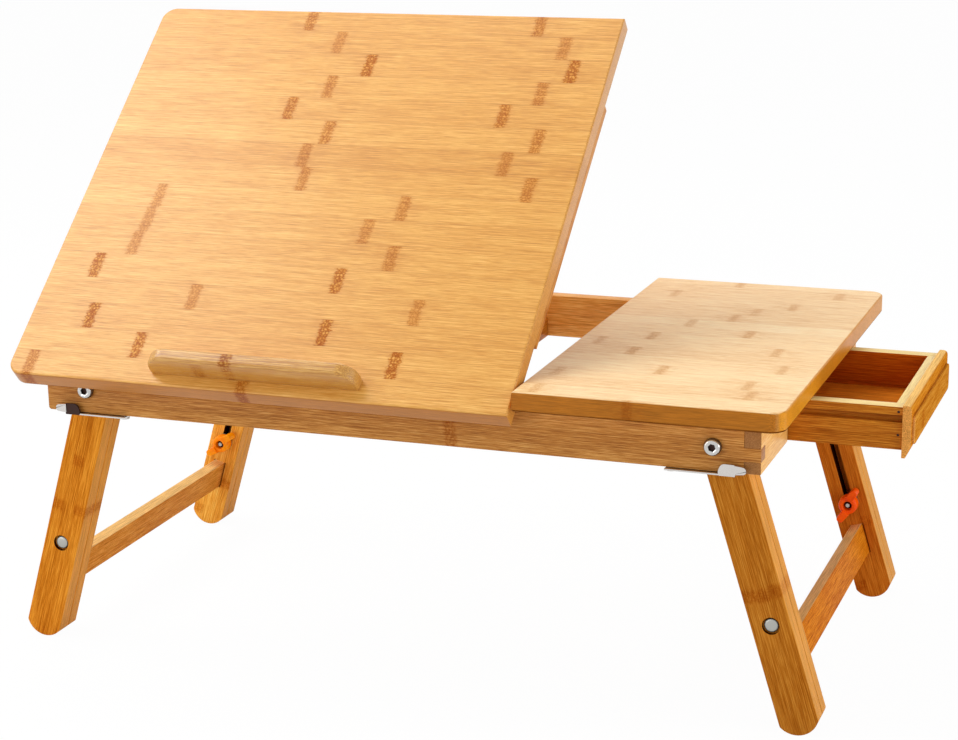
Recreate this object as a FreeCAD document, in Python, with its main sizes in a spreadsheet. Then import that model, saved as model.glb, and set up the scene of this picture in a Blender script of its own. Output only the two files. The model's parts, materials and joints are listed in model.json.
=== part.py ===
import FreeCAD, Part
import math
import os
import re
from types import SimpleNamespace

import Sketcher

# Folding laptop table in laminated bamboo: a tray of four rails on two pairs of
# splayed legs, a tilting panel with a book ledge, a fixed side panel and a drawer.
# Millimetres, +X to the right along the length, +Y to the back, +Z up.
# The origin lies under the middle of the whole table, on the surface it stands on.

DIMENSIONS = [
    # tray
    ("tray_length", 512.0),
    ("tray_depth", 312.0),
    ("rail_height", 32.5),
    ("rail_thick", 11.0),
    # top panels
    ("panel_thick", 13.5),
    ("panel_depth", 346.0),
    ("front_overhang", 16.4),
    ("corner_radius", 11.0),
    ("edge_round", 1.6),
    ("fixed_start", 352.0),
    ("fixed_width", 177.3),
    ("tilt_start", -20.7),
    ("tilt_width", 371.0),
    # tilt hinges
    ("tilt_angle", 40.7),
    ("hinge_setback", 2.6),
    ("hinge_rise", 0.6),
    ("nose_bevel", 3.3),
    ("finger_blind", 4.0),
    ("hinge_length", 30.0),
    ("hinge_leaf", 7.4),
    ("leaf_thick", 1.0),
    ("knuckle_radius", 2.0),
    ("hinge_pin_radius", 1.0),
    ("first_hinge", 45.0),
    ("second_hinge", 255.0),
    # battens and ledge on the tilting panel
    ("batten_width", 9.5),
    ("batten_height", 8.0),
    ("batten_start", 67.5),
    ("batten_length", 209.0),
    ("batten_inset", 1.5),
    ("ledge_start", 90.0),
    ("ledge_length", 155.0),
    ("ledge_setback", 9.0),
    ("ledge_thick", 10.0),
    ("ledge_height", 18.5),
    ("ledge_round", 14.0),
    ("ledge_ease", 2.4),
    # prop under the tilting panel
    ("prop_middle", 250.0),
    ("prop_reach", 130.0),
    ("prop_drop", 7.0),
    ("prop_length", 134.0),
    ("prop_width", 64.0),
    ("prop_arm_width", 8.0),
    ("prop_arm_depth", 8.0),
    ("prop_pin_radius", 1.5),
    ("foot_rod_radius", 3.5),
    ("foot_clearance", 0.3),
    # notched rails that hold the foot rod
    ("notch_rail_height", 14.0),
    ("notch_rail_thick", 8.7),
    ("left_notch_rail", 238.0),
    ("right_notch_rail", 262.0),
    ("notch_pitch", 13.0),
    ("notch_radius", 4.2),
    ("notch_count", 5.0),
    # legs
    ("pivot_inset", 31.0),
    ("pivot_height", 16.3),
    ("splay_angle", 16.82),
    ("leg_width", 26.8),
    ("leg_length", 203.4),
    ("toe_radius", 15.0),
    ("leg_gap", 1.2),
    ("outer_thick", 13.0),
    ("board_gap", 0.3),
    ("inner_thick", 11.0),
    ("inner_top", 18.0),
    ("clamp_reach", 126.9),
    ("leg_travel", 80.0),
    ("bolt_radius", 2.9),
    ("bolt_hole_radius", 2.96),
    ("slot_radius", 3.0),
    ("recess_radius", 5.9),
    ("recess_depth", 2.6),
    ("stretcher_reach", 145.0),
    ("stretcher_width", 23.0),
    ("stretcher_thick", 9.0),
    ("tenon_length", 5.0),
    ("mortise_play", 1.0),
    # clamp hardware
    ("washer_radius", 7.0),
    ("washer_thick", 1.2),
    ("wing_hub_radius", 7.2),
    ("wing_hub_height", 9.0),
    ("wing_mouth_radius", 3.4),
    ("wing_mouth_depth", 3.5),
    ("wing_reach", 13.3),
    ("wing_width", 5.9),
    ("wing_offset", 0.8),
    ("wing_height", 11.6),
    ("pivot_head_radius", 5.8),
    ("pivot_head_height", 4.0),
    ("hex_key", 4.6),
    ("nut_flats", 10.0),
    ("nut_height", 5.0),
    # spring clips
    ("clip_start", 8.4),
    ("clip_nose", 7.6),
    ("clip_tab", 18.7),
    ("clip_tab_height", 8.0),
    ("clip_strip_end", 62.0),
    ("clip_pivot", 59.0),
    ("clip_depth", 12.0),
    ("clip_thick", 1.0),
    ("clip_gap", 0.4),
    ("clip_screw_radius", 1.5),
    ("clip_screw_reach", 8.0),
    # drawer
    ("drawer_out", 75.0),
    ("drawer_middle", 149.5),
    ("drawer_width", 144.4),
    ("drawer_length", 148.0),
    ("drawer_side", 10.0),
    ("drawer_wall", 6.0),
    ("drawer_floor", 3.0),
    ("drawer_bottom_z", 0.8),
    ("drawer_top_z", 29.5),
    ("guide_gap", 0.8),
    ("guide_thick", 10.0),
    ("runner_height", 4.4),
    ("groove_height", 5.2),
    ("groove_bottom", 18.8),
    ("groove_depth", 5.0),
    ("stop_board", 8.0),
    ("front_board_thick", 6.0),
    ("front_board_width", 150.0),
    ("front_board_height", 35.4),
    ("front_board_drop", 4.0),
    ("plate_thick", 2.0),
    ("plate_width", 143.0),
    ("plate_height", 19.0),
    ("plate_rise", 8.5),
    ("brad_radius", 0.9),
]

doc = FreeCAD.newDocument("laptop_table")
sheet = doc.addObject("Spreadsheet::Sheet", "Dims")
for row, (alias, value) in enumerate(DIMENSIONS, start=1):
    sheet.set("A%d" % row, alias)
    sheet.set("B%d" % row, str(value))
    sheet.setAlias("B%d" % row, alias)
doc.recompute()

ALIASES = {alias for alias, _ in DIMENSIONS}
dim = SimpleNamespace(**{alias: float(sheet.get(alias)) for alias in ALIASES})
X_AXIS = FreeCAD.Vector(1, 0, 0)
Y_AXIS = FreeCAD.Vector(0, 1, 0)
Z_AXIS = FreeCAD.Vector(0, 0, 1)
pieces = []


def bind(obj, prop, text):
    """Tie one property of an object to an expression in the sheet's names."""
    names = re.sub(
        r"[a-z_]+", lambda m: "Dims." + m.group(0) if m.group(0) in ALIASES else m.group(0), str(text))
    obj.setExpression(prop, names)


def bind_base(obj, at):
    """Tie an object's position to three expressions."""
    for axis, text in zip("xyz", at):
        bind(obj, "Placement.Base." + axis, text)


def box(name, start, extent):
    """Block from a corner and three sizes."""
    block = doc.addObject("Part::Box", name)
    for prop, text in zip(("Length", "Width", "Height"), extent):
        bind(block, prop, text)
    bind_base(block, start)
    return block


def rod(name, start, radius, length, axis=Z_AXIS):
    """Cylinder that runs from a point along an axis."""
    cylinder = doc.addObject("Part::Cylinder", name)
    cylinder.Placement.Rotation = FreeCAD.Rotation(Z_AXIS, axis)
    bind(cylinder, "Radius", radius)
    bind(cylinder, "Height", length)
    bind_base(cylinder, start)
    return cylinder


def fuse(name, parts):
    """One solid from several that touch."""
    joined = doc.addObject("Part::MultiFuse", name)
    joined.Shapes = parts
    joined.Refine = True
    return joined


def cut(name, base, tools):
    """A base with one or more tools taken away."""
    result = doc.addObject("Part::Cut", name)
    result.Base = base
    result.Tool = tools[0] if len(tools) == 1 else group(name + "_tools", tools)
    result.Refine = True
    return result


def common(name, base, tool):
    """What two solids share."""
    shared = doc.addObject("Part::Common", name)
    shared.Base = base
    shared.Tool = tool
    return shared


def group(name, parts):
    """Separate solids kept together under one name."""
    compound = doc.addObject("Part::Compound", name)
    compound.Links = parts
    return compound


def ease(name, base, radius, wanted, chamfer=False):
    """Round or bevel those edges of a solid that the test picks."""
    doc.recompute()
    eased = doc.addObject("Part::Chamfer" if chamfer else "Part::Fillet", name)
    eased.Base = base
    eased.Edges = [(i, radius, radius) for i, edge in enumerate(base.Shape.Edges, start=1) if wanted(edge)]
    return eased


def runs_along(edge, axis):
    """True for a straight edge parallel to an axis."""
    if not isinstance(edge.Curve, Part.Line):
        return False
    return abs(edge.tangentAt(edge.FirstParameter).dot(axis)) > 0.999


def finish(obj, label, placement):
    """Name a piece, set it in its place and list it for export."""
    if obj.TypeId == "Part::Box":
        obj = group(label + "_placed", [obj])
    obj.Label = label
    obj.Placement = placement
    pieces.append(obj)


# ---- places ---------------------------------------------------------------

SPLAY = math.radians(dim.splay_angle)
TILT = math.radians(dim.tilt_angle)

toe_centre = dim.leg_length - dim.toe_radius
toe_sweep = math.asin(dim.leg_width / 2 / dim.toe_radius)
stand_height = toe_centre * math.cos(SPLAY) + dim.toe_radius - dim.pivot_height
foot_reach = toe_centre * math.sin(SPLAY) + dim.toe_radius * math.sin(toe_sweep + SPLAY)
left_end = dim.pivot_inset - foot_reach
right_end = dim.tray_length + dim.drawer_out + dim.front_board_thick + dim.plate_thick
ledge_back = dim.front_overhang + dim.hinge_setback - dim.ledge_setback - dim.ledge_ease
ledge_peak = dim.panel_thick - dim.hinge_rise + dim.ledge_height - dim.ledge_ease
front_end = dim.hinge_setback - ledge_back * math.cos(TILT) - ledge_peak * math.sin(TILT) - dim.ledge_ease
back_end = dim.panel_depth - dim.front_overhang

tray_corner = FreeCAD.Vector(-(left_end + right_end) / 2, -(front_end + back_end) / 2, stand_height)


def spot(x=0.0, y=0.0, z=0.0):
    """Point given from the tray's front left lower corner."""
    return tray_corner + FreeCAD.Vector(x, y, z)


TRAY = FreeCAD.Placement(tray_corner, FreeCAD.Rotation())
DRAWER = FreeCAD.Placement(spot(dim.drawer_out), FreeCAD.Rotation())
hinge_spot = spot(0, dim.hinge_setback, (dim.rail_height + dim.hinge_rise))
TILT_PANEL = FreeCAD.Placement(hinge_spot, FreeCAD.Rotation(X_AXIS, dim.tilt_angle))


# ---- tray -----------------------------------------------------------------

FINGERS = (("0", "rail_height * 0.25"), ("rail_height * 0.25", "rail_height * 0.27"),
           ("rail_height * 0.52", "rail_height * 0.48"))


def finger(name, x, y, level):
    """Notch of a finger joint at a corner: bottom, middle or top finger."""
    start, height = FINGERS[level]
    return box(name, (x, y, start), ("rail_thick", "rail_thick", height))


def rounded_foot(label, rail):
    """The rail with its lower left corner rounded."""
    return ease(label + "_foot", rail, 2.0, lambda edge: (
        runs_along(edge, Y_AXIS) and edge.CenterOfMass.x < 0.01 and edge.CenterOfMass.z < 0.01))


def bolt_hole(name, x, y):
    """Hole for a leg's pivot bolt through a rail."""
    return rod(name, (x, y, "pivot_height"), "bolt_hole_radius", "rail_thick", Y_AXIS)


def long_rail(label, y, bevelled):
    """Front or back rail, with outer fingers cut away at both ends and two bolt holes."""
    blank = box(label + "_blank", ("0", y, "0"), ("tray_length", "rail_thick", "rail_height"))
    tools = []
    left_y = "finger_blind" if bevelled else y
    for end, x, start in (("left", "0", left_y), ("right", "tray_length - rail_thick", y)):
        for step in (0, 2):
            tools.append(finger("%s_%s_finger%d" % (label, end, step), x, start, step))
    for end, x in (("left", "pivot_inset"), ("right", "tray_length - pivot_inset")):
        tools.append(bolt_hole("%s_%s_hole" % (label, end), x, y))
    if bevelled:
        tools.append(nose_bevel(label + "_bevel", "fixed_start"))
        tools += screw_pilots(label, -1) + clip_pilots()
        tools += hinge_seats(label, "rail_height - leaf_thick + hinge_rise - 0.05", y="hinge_setback")
    rail = cut(label + "_body", blank, tools)
    finish(rounded_foot(label, rail) if bevelled else rail, label, TRAY)


def nose_bevel(name, length):
    """Tool that takes the top front arris off, so that the tilting panel's nose can drop past it."""
    tool = doc.addObject("Part::Box", name)
    bind(tool, "Length", length)
    tool.Width = 8
    tool.Height = 8
    tool.Placement = FreeCAD.Placement(
        FreeCAD.Vector(-1, -1, dim.rail_height - dim.nose_bevel - 1), FreeCAD.Rotation(X_AXIS, 45))
    return tool


def clip_pilots():
    """Holes under the front rail for the screws of the two spring clips."""
    return [
        rod("clip_pilot_" + side, (x, "3", "0"), "clip_screw_radius", "clip_screw_reach", Z_AXIS)
        for side, x in (("left", "clip_pivot"), ("right", "tray_length - clip_pivot"))
    ]


def hinge_seats(label, floor, y):
    """Recesses for the two hinge leaves and their knuckles, cut down to a floor height."""
    seats = []
    for end, x in (("first", "first_hinge"), ("second", "second_hinge")):
        name = "%s_%s_seat" % (label, end)
        seats.append(box(name, (x + " - 0.2", y, floor), ("hinge_length + 0.4", "hinge_leaf + 0.2", "6")))
        seats.append(rod(name + "_knuckle", (x + " - 0.2", "hinge_setback", "rail_height + hinge_rise"),
                         "knuckle_radius + 0.3", "hinge_length + 0.4", X_AXIS))
    return seats


def left_end_rail():
    """Left rail, its fingers hidden behind the front rail's face and seen through the back rail."""
    blank = box("left_end_blank", ("0", "finger_blind", "0"),
                ("rail_thick", "tray_depth - finger_blind", "rail_height"))
    tools = [
        finger("left_end_front_finger", "0", "0", 1),
        finger("left_end_back_finger", "0", "tray_depth - rail_thick", 1),
    ]
    rail = cut("left_end_body", blank, tools)
    finish(rounded_foot("left_end_rail", rail), "left_end_rail", TRAY)


def right_end_rail(label, start, length, corner):
    """Short right rail on one side of the drawer."""
    x = "tray_length - rail_thick"
    blank = box(label + "_blank", (x, start, "0"), ("rail_thick", length, "rail_height"))
    finish(cut(label, blank, [finger(label + "_finger", x, corner, 1)]), label, TRAY)


def panel_blank(name, start, extent, outer_x):
    """Panel with its two outer corners rounded and every edge eased."""
    blank = box(name + "_blank", start, extent)
    corner = dim.corner_radius

    def outer_corner(edge):
        return runs_along(edge, Z_AXIS) and abs(edge.CenterOfMass.x - outer_x) < 0.01

    cornered = ease(name + "_cornered", blank, corner, outer_corner)
    return ease(name + "_eased", cornered, dim.edge_round, lambda edge: not runs_along(edge, Z_AXIS))


def fixed_side_panel():
    """Fixed panel over the drawer; it overhangs the tray at the front, back and right."""
    outer = (dim.fixed_start + dim.fixed_width)
    panel = panel_blank("fixed_panel", ("fixed_start", "-front_overhang", "rail_height"),
                        ("fixed_width", "panel_depth", "panel_thick"), outer)
    finish(panel, "fixed_side_panel", TRAY)


GUIDE_START = "tray_length - drawer_length"
DRAWER_LOW_Y = "drawer_middle - drawer_width / 2"
DRAWER_HIGH_Y = "drawer_middle + drawer_width / 2"


def drawer_guide(label, y, groove_y):
    """Board beside the drawer, grooved for its runner strip."""
    start = GUIDE_START + " - stop_board - 2"
    long = "drawer_length + stop_board + 2 - rail_thick"
    blank = box(label + "_blank", (start, y, "0"), (long, "guide_thick", "rail_height"))
    groove = box(label + "_groove", (start, groove_y, "groove_bottom + 0.4"), (long, "3", "runner_height"))
    finish(cut(label, blank, [groove]), label, TRAY)


def drawer_runner(label, y):
    """Runner strip, let 3 mm into its guide and standing out into the drawer's groove."""
    strip = box(label + "_strip", (GUIDE_START + " + 4", y, "groove_bottom + 0.4"),
                ("drawer_length - 4 - rail_thick", "7", "runner_height"))
    finish(strip, label, TRAY)


def drawer_stop_board():
    """Board that closes the drawer's bay at its inner end."""
    board = box("stop_blank", (GUIDE_START + " - stop_board - 2", DRAWER_LOW_Y + " - guide_gap", "0"),
                ("stop_board", "drawer_width + 2 * guide_gap", "rail_height"))
    finish(board, "drawer_stop_board", TRAY)


def notch_rail(label, x):
    """Low rail across the tray, with round notches for the prop's foot rod."""
    blank = box(label + "_blank", (x, "rail_thick", "0"),
                ("notch_rail_thick", "tray_depth - 2 * rail_thick", "notch_rail_height"))
    notches = []
    for step in range(int(dim.notch_count)):
        y = foot_spot.y - (step - 1) * dim.notch_pitch
        notch = rod("%s_notch%d" % (label, step + 1), (x, "0", "notch_rail_height + 1"),
                    "notch_radius", "notch_rail_thick", X_AXIS)
        notch.setExpression("Placement.Base.y", None)
        notch.Placement.Base.y = y
        notches.append(notch)
    finish(cut(label, blank, notches), label, TRAY)


# ---- hinges ---------------------------------------------------------------

HINGES = (("first", "first_hinge"), ("second", "second_hinge"))


def hinge_knuckle(name, x, length):
    """Rolled barrel of a hinge leaf around its pin, in the hinge's own frame."""
    barrel = rod(name + "_barrel", (x, "0", "0"), "knuckle_radius", length, X_AXIS)
    return barrel


def hinge_leaves(label, up, placement, barrels):
    """One leaf of each hinge; up is 1 for the panel's leaf and -1 for the rail's."""
    leaves = []
    floor = "0.05" if up > 0 else "-leaf_thick - 0.05"
    for end, x in HINGES:
        name = "%s_%s" % (label, end)
        plate = box(name + "_plate", (x, "0.6", floor), ("hinge_length", "hinge_leaf - 0.6", "leaf_thick"))
        solid = [plate]
        for step, (offset, length) in enumerate(barrels):
            solid.append(hinge_knuckle("%s_%d" % (name, step), x + " + " + offset, length))
        tools = [rod(name + "_bore", (x, "0", "0"), "hinge_pin_radius + 0.04", "hinge_length", X_AXIS)]
        for step, (offset, length) in enumerate(other_barrels(barrels)):
            tools.append(rod("%s_clear%d" % (name, step), (x + " + " + offset, "0", "0"),
                             "knuckle_radius + 0.3", length, X_AXIS))
        for step in (0.25, 0.75):
            spot = (x + " + hinge_length * %g" % step, "4.9", "-2")
            tools.append(rod("%s_screw_hole%d" % (name, step * 4), spot, "0.85", "4"))
        leaves.append(cut(name, fuse(name + "_body", solid), tools))
    finish(group(label, leaves), label, placement)


RAIL_BARRELS = [("0", "9.8"), ("20.2", "9.8")]
PANEL_BARRELS = [("10", "10")]


def other_barrels(barrels):
    """Where the opposite leaf's barrels turn, with a little play at each end."""
    if barrels is RAIL_BARRELS:
        return [("9.8", "10.4")]
    return [("-0.2", "10.2"), ("20", "10.2")]


def hinge_pins():
    """Plain pins through both hinges."""
    pins = [
        rod("%s_pin" % end, (x, "0", "0"), "hinge_pin_radius", "hinge_length", X_AXIS) for end, x in HINGES
    ]
    finish(group("hinge_pins", pins), "hinge_pins", FreeCAD.Placement(hinge_spot, FreeCAD.Rotation()))


def hinge_screws(label, up, placement):
    """Small countersunk screws of one leaf of each hinge."""
    screws = []
    for end, x in HINGES:
        for step in (0.25, 0.75):
            name = "%s_%s_%d" % (label, end, step * 4)
            at = x + " + hinge_length * %g" % step
            start = "0.05" if up > 0 else "-0.05 - leaf_thick - 6"
            screws.append(rod(name, (at, "4.9", start), "0.8", "leaf_thick + 6"))
    finish(group(label, screws), label, placement)


# ---- tilting panel --------------------------------------------------------

UNDERSIDE = "-hinge_rise"
NOSE = "-front_overhang - hinge_setback"


def screw_pilots(label, up):
    """Pilot holes for the hinge screws."""
    pilots = []
    for end, x in HINGES:
        for step in (0.25, 0.75):
            start = "0" if up > 0 else "rail_height - 6.6"
            y = "4.9" if up > 0 else "hinge_setback + 4.9"
            pilots.append(rod("%s_%s_pilot%d" % (label, end, step * 4),
                              (x + " + hinge_length * %g" % step, y, start), "0.8", "leaf_thick + 6.05"))
    return pilots


def tilt_panel():
    """Tilting panel, in the frame of its hinge axis, with seats for the hinges."""
    panel = panel_blank("tilt_panel", ("tilt_start", NOSE, UNDERSIDE),
                        ("tilt_width", "panel_depth", "panel_thick"), dim.tilt_start)
    seats = []
    for end, x in HINGES:
        seats.append(box("panel_%s_seat" % end, (x + " - 0.2", "0", UNDERSIDE + " - 1"),
                         ("hinge_length + 0.4", "hinge_leaf + 0.2", "hinge_rise + 1 + leaf_thick + 0.05")))
        seats.append(rod("panel_%s_knuckle" % end, (x + " - 0.2", "0", "0"), "knuckle_radius + 0.3",
                         "hinge_length + 0.4", X_AXIS))
    finish(cut("tilt_panel", panel, seats + screw_pilots("tilt_panel", 1)), "tilt_panel", TILT_PANEL)


def book_ledge():
    """Stop bar on the tilting panel: a thin board with its upper corners rounded."""
    top = UNDERSIDE + " + panel_thick"
    blank = box("ledge_blank", ("ledge_start", NOSE + " + ledge_setback", top),
                ("ledge_length", "ledge_thick", "ledge_height"))
    peak = dim.panel_thick - dim.hinge_rise + dim.ledge_height

    def upper_corner(edge):
        return runs_along(edge, Y_AXIS) and edge.CenterOfMass.z > peak - 0.01

    def upper_arris(edge):
        return edge.CenterOfMass.z > peak - dim.ledge_round and not runs_along(edge, Y_AXIS) \
            and not runs_along(edge, Z_AXIS)

    cornered = ease("ledge_cornered", blank, dim.ledge_round, upper_corner)
    finish(ease("ledge_eased", cornered, dim.ledge_ease, upper_arris), "book_ledge", TILT_PANEL)


def panel_batten(label, x):
    """Stiffening batten under one end of the tilting panel, hollowed where it leaves the panel."""
    y = NOSE + " + batten_start"
    blank = box(label + "_blank", (x, y, UNDERSIDE + " - batten_height"),
                ("batten_width", "batten_length", "batten_height"))
    gaps = [
        box(label + "_back_gap", (x, y + " + 150", UNDERSIDE + " - 1.6"), ("batten_width", "50", "1.6")),
        box(label + "_front_gap", (x, y + " + 44", UNDERSIDE + " - 1.2"), ("batten_width", "20", "1.2")),
    ]
    finish(cut(label, blank, gaps), label, TILT_PANEL)


# ---- prop -----------------------------------------------------------------

prop_pivot = TILT_PANEL.multVec(FreeCAD.Vector(0, dim.prop_reach, -dim.prop_drop))
foot_height = (dim.notch_rail_height + dim.foot_rod_radius + dim.foot_clearance)
prop_fall = prop_pivot.z - tray_corner.z - foot_height
prop_angle = -math.degrees(math.asin(prop_fall / dim.prop_length))
PROP = FreeCAD.Placement(prop_pivot, FreeCAD.Rotation(X_AXIS, prop_angle))
foot_spot = PROP.multVec(FreeCAD.Vector(0, dim.prop_length, 0)) - tray_corner

PROP_LEFT = "prop_middle - prop_width / 2"
PROP_RIGHT = "prop_middle + prop_width / 2"


def prop_arm(label, x):
    """Arm of the prop, round at its pivot and bored for the pin and the foot rod."""
    half = "prop_arm_depth / 2"
    bar = box(label + "_bar", (x, "0", "-" + half), ("prop_arm_width", "prop_length", "prop_arm_depth"))
    head = rod(label + "_head", (x, "0", "0"), half, "prop_arm_width", X_AXIS)
    toe = rod(label + "_toe", (x, "prop_length", "0"), half, "prop_arm_width", X_AXIS)
    bores = [
        rod(label + "_pin_bore", (x, "0", "0"), "prop_pin_radius + 0.04", "prop_arm_width", X_AXIS),
        rod(label + "_rod_bore", (x, "prop_length", "0"), "foot_rod_radius - 1", "prop_arm_width", X_AXIS),
    ]
    finish(cut(label, fuse(label + "_body", [bar, head, toe]), bores), label, PROP)


def prop_foot_rod():
    """Round rod between the arms; it lies across the notched rails."""
    inner = rod("foot_rod_inner", (PROP_LEFT + " + prop_arm_width", "prop_length", "0"),
                "foot_rod_radius", "prop_width - 2 * prop_arm_width", X_AXIS)
    spigots = rod("foot_rod_spigots", (PROP_LEFT, "prop_length", "0"), "foot_rod_radius - 1", "prop_width",
                  X_AXIS)
    finish(fuse("prop_foot_rod", [inner, spigots]), "prop_foot_rod", PROP)


def prop_cross_bar():
    """Flat bar that keeps the two arms parallel."""
    bar = box("cross_bar", (PROP_LEFT + " + prop_arm_width", "30", "-2.5"),
              ("prop_width - 2 * prop_arm_width", "14", "5"))
    finish(bar, "prop_cross_bar", PROP)


def prop_brackets():
    """Two blocks under the panel that carry the prop's pivot pins."""
    blocks = []
    for side, x in (("left", PROP_LEFT + " - 8.3"), ("right", PROP_RIGHT + " + 0.3")):
        name = "prop_bracket_" + side
        block = box(name + "_block", (x, "prop_reach - 8", "-prop_drop - 4"),
                    ("8", "16", "prop_drop + 4 - hinge_rise"))
        bore = rod(name + "_bore", (x, "prop_reach", "-prop_drop"), "prop_pin_radius", "8", X_AXIS)
        blocks.append(cut(name, block, [bore]))
    finish(group("prop_brackets", blocks), "prop_brackets", TILT_PANEL)


def prop_pins():
    """Pins from the brackets into the prop's arms."""
    pins = []
    for side, x in (("left", PROP_LEFT + " - 8.3"), ("right", PROP_RIGHT + " - prop_arm_width")):
        pins.append(rod("prop_pin_" + side, (x, "prop_reach", "-prop_drop"), "prop_pin_radius",
                        "prop_arm_width + 8.3", X_AXIS))
    finish(group("prop_pins", pins), "prop_pins", TILT_PANEL)


# ---- legs -----------------------------------------------------------------
# Each leg piece is drawn hanging straight down from its pivot, with its outer
# face at y = 0 and the inside of the table towards +y. A back leg is the same
# piece turned half round.

def leg_place(side, row):
    """Placement of a leg's own frame: side is left or right, row is front or back."""
    lean = dim.splay_angle if side == "left" else -dim.splay_angle
    x = dim.pivot_inset if side == "left" else (dim.tray_length - dim.pivot_inset)
    outer = (dim.rail_thick + dim.leg_gap)
    y = outer if row == "front" else dim.tray_depth - outer
    turn = FreeCAD.Rotation(Z_AXIS, 0 if row == "front" else 180)
    return FreeCAD.Placement(spot(x, y, dim.pivot_height), FreeCAD.Rotation(Y_AXIS, lean) * turn)


def tied(sketch, kind, where, name, value, text):
    """Sketch dimension that follows the sheet."""
    index = sketch.addConstraint(Sketcher.Constraint(kind, *where, value))
    sketch.renameConstraint(index, name)
    bind(sketch, "Constraints." + name, text)


def board_sketch(body, name, round_top):
    """Outline of a leg board on the body's XZ plane, with a rounded toe."""
    sketch = body.newObject("Sketcher::SketchObject", name)
    plane = [f for f in body.Origin.OriginFeatures if f.Role == "XZ_Plane"][0]
    sketch.AttachmentSupport = (plane, [""])
    sketch.MapMode = "FlatFace"
    half = dim.leg_width / 2
    toe = dim.toe_radius
    top = 0 if round_top else -dim.inner_top
    drop = math.sqrt(toe ** 2 - half ** 2)
    left = Part.LineSegment(FreeCAD.Vector(-half, top, 0), FreeCAD.Vector(-half, -toe_centre - drop, 0))
    circle = Part.Circle(FreeCAD.Vector(0, -toe_centre, 0), FreeCAD.Vector(0, 0, 1), toe)
    bottom = Part.ArcOfCircle(circle, 1.5 * math.pi - toe_sweep, 1.5 * math.pi + toe_sweep)
    right = Part.LineSegment(FreeCAD.Vector(half, -toe_centre - drop, 0), FreeCAD.Vector(half, top, 0))
    if round_top:
        head = Part.Circle(FreeCAD.Vector(0, 0, 0), FreeCAD.Vector(0, 0, 1), half)
        cap = Part.ArcOfCircle(head, 0, math.pi)
    else:
        cap = Part.LineSegment(FreeCAD.Vector(half, top, 0), FreeCAD.Vector(-half, top, 0))
    sketch.addGeometry([left, bottom, right, cap], False)
    sketch.addConstraint([
        Sketcher.Constraint("Coincident", 0, 2, 1, 1),
        Sketcher.Constraint("Coincident", 1, 2, 2, 1),
        Sketcher.Constraint("Vertical", 0),
        Sketcher.Constraint("Vertical", 2),
    ])
    if round_top:
        sketch.addConstraint([
            Sketcher.Constraint("Tangent", 2, 2, 3, 1),
            Sketcher.Constraint("Tangent", 3, 2, 0, 1),
            Sketcher.Constraint("Coincident", 3, 3, -1, 1),
            Sketcher.Constraint("Horizontal", 1, 1, 1, 2),
        ])
        tied(sketch, "Radius", (3,), "head", half, "leg_width / 2")
    else:
        sketch.addConstraint([
            Sketcher.Constraint("Coincident", 2, 2, 3, 1),
            Sketcher.Constraint("Coincident", 3, 2, 0, 1),
            Sketcher.Constraint("Horizontal", 3),
            Sketcher.Constraint("Symmetric", 1, 1, 1, 2, -2),
        ])
        tied(sketch, "DistanceX", (3, 2, 3, 1), "width", dim.leg_width, "leg_width")
        tied(sketch, "DistanceY", (3, 1, -1, 1), "top", dim.inner_top, "inner_top")
    tied(sketch, "Radius", (1,), "toe", toe, "toe_radius")
    tied(sketch, "DistanceY", (1, 3, -1, 1), "reach", toe_centre, "leg_length - toe_radius")
    return sketch


def above_toe(edge):
    """True for the edges of a leg board's faces, other than those of its rounded toe."""
    return not runs_along(edge, Y_AXIS) and edge.CenterOfMass.z > -toe_centre


def leg_board(name, round_top, thick):
    """Body of a leg board, padded away from its outer face and eased along its edges."""
    body = doc.addObject("PartDesign::Body", name + "_board")
    sketch = board_sketch(body, name + "_outline", round_top)
    pad = body.newObject("PartDesign::Pad", name + "_pad")
    pad.Profile = sketch
    bind(pad, "Length", thick)
    pad.Reversed = True
    doc.recompute()
    eased = body.newObject("PartDesign::Fillet", name + "_ease")
    eased.Base = (pad, ["Edge%d" % i for i, edge in enumerate(pad.Shape.Edges, start=1) if above_toe(edge)])
    eased.Radius = 0.8
    doc.recompute()
    return body


def outer_leg(side, row):
    """Outer board of a leg, turning on the pivot bolt, with the clamp bolt's recess."""
    label = "%s_%s_outer_leg" % (side, row)
    body = leg_board(label, True, "outer_thick")
    down = "-clamp_reach"
    tools = [
        rod(label + "_pivot", ("0", "0", "0"), "bolt_hole_radius", "outer_thick", Y_AXIS),
        rod(label + "_clamp", ("0", "0", down), "bolt_radius", "outer_thick", Y_AXIS),
        rod(label + "_recess", ("0", "0", down), "recess_radius", "recess_depth", Y_AXIS),
    ]
    finish(cut(label, body, tools), label, leg_place(side, row))


INNER_FACE = "outer_thick + board_gap + inner_thick"
WING_TURN = {"left": 45.4, "right": 37.8}
FRONT_WING_TURN = {"left": 97.0, "right": 86.0}


def inner_leg(side, row):
    """Slotted inner board of a leg, mortised for the stretcher."""
    label = "%s_%s_inner_leg" % (side, row)
    body = leg_board(label, False, "inner_thick")
    bind(body, "Placement.Base.y", "outer_thick + board_gap")
    start = "outer_thick + board_gap"
    slot_top = "-clamp_reach + leg_travel"
    tools = [
        rod(label + "_slot_top", ("0", start, slot_top), "slot_radius", "inner_thick", Y_AXIS),
        box(label + "_slot", ("-slot_radius", start, "-clamp_reach"),
            ("2 * slot_radius", "inner_thick", "leg_travel")),
        rod(label + "_slot_foot", ("0", start, "-clamp_reach"), "slot_radius", "inner_thick", Y_AXIS),
        box(label + "_mortise", ("-stretcher_thick / 2 - mortise_play", INNER_FACE + " - tenon_length",
                                 "-stretcher_reach - stretcher_width"),
            ("stretcher_thick + 2 * mortise_play", "tenon_length", "stretcher_width")),
    ]
    finish(cut(label, body, tools), label, leg_place(side, row))


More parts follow.
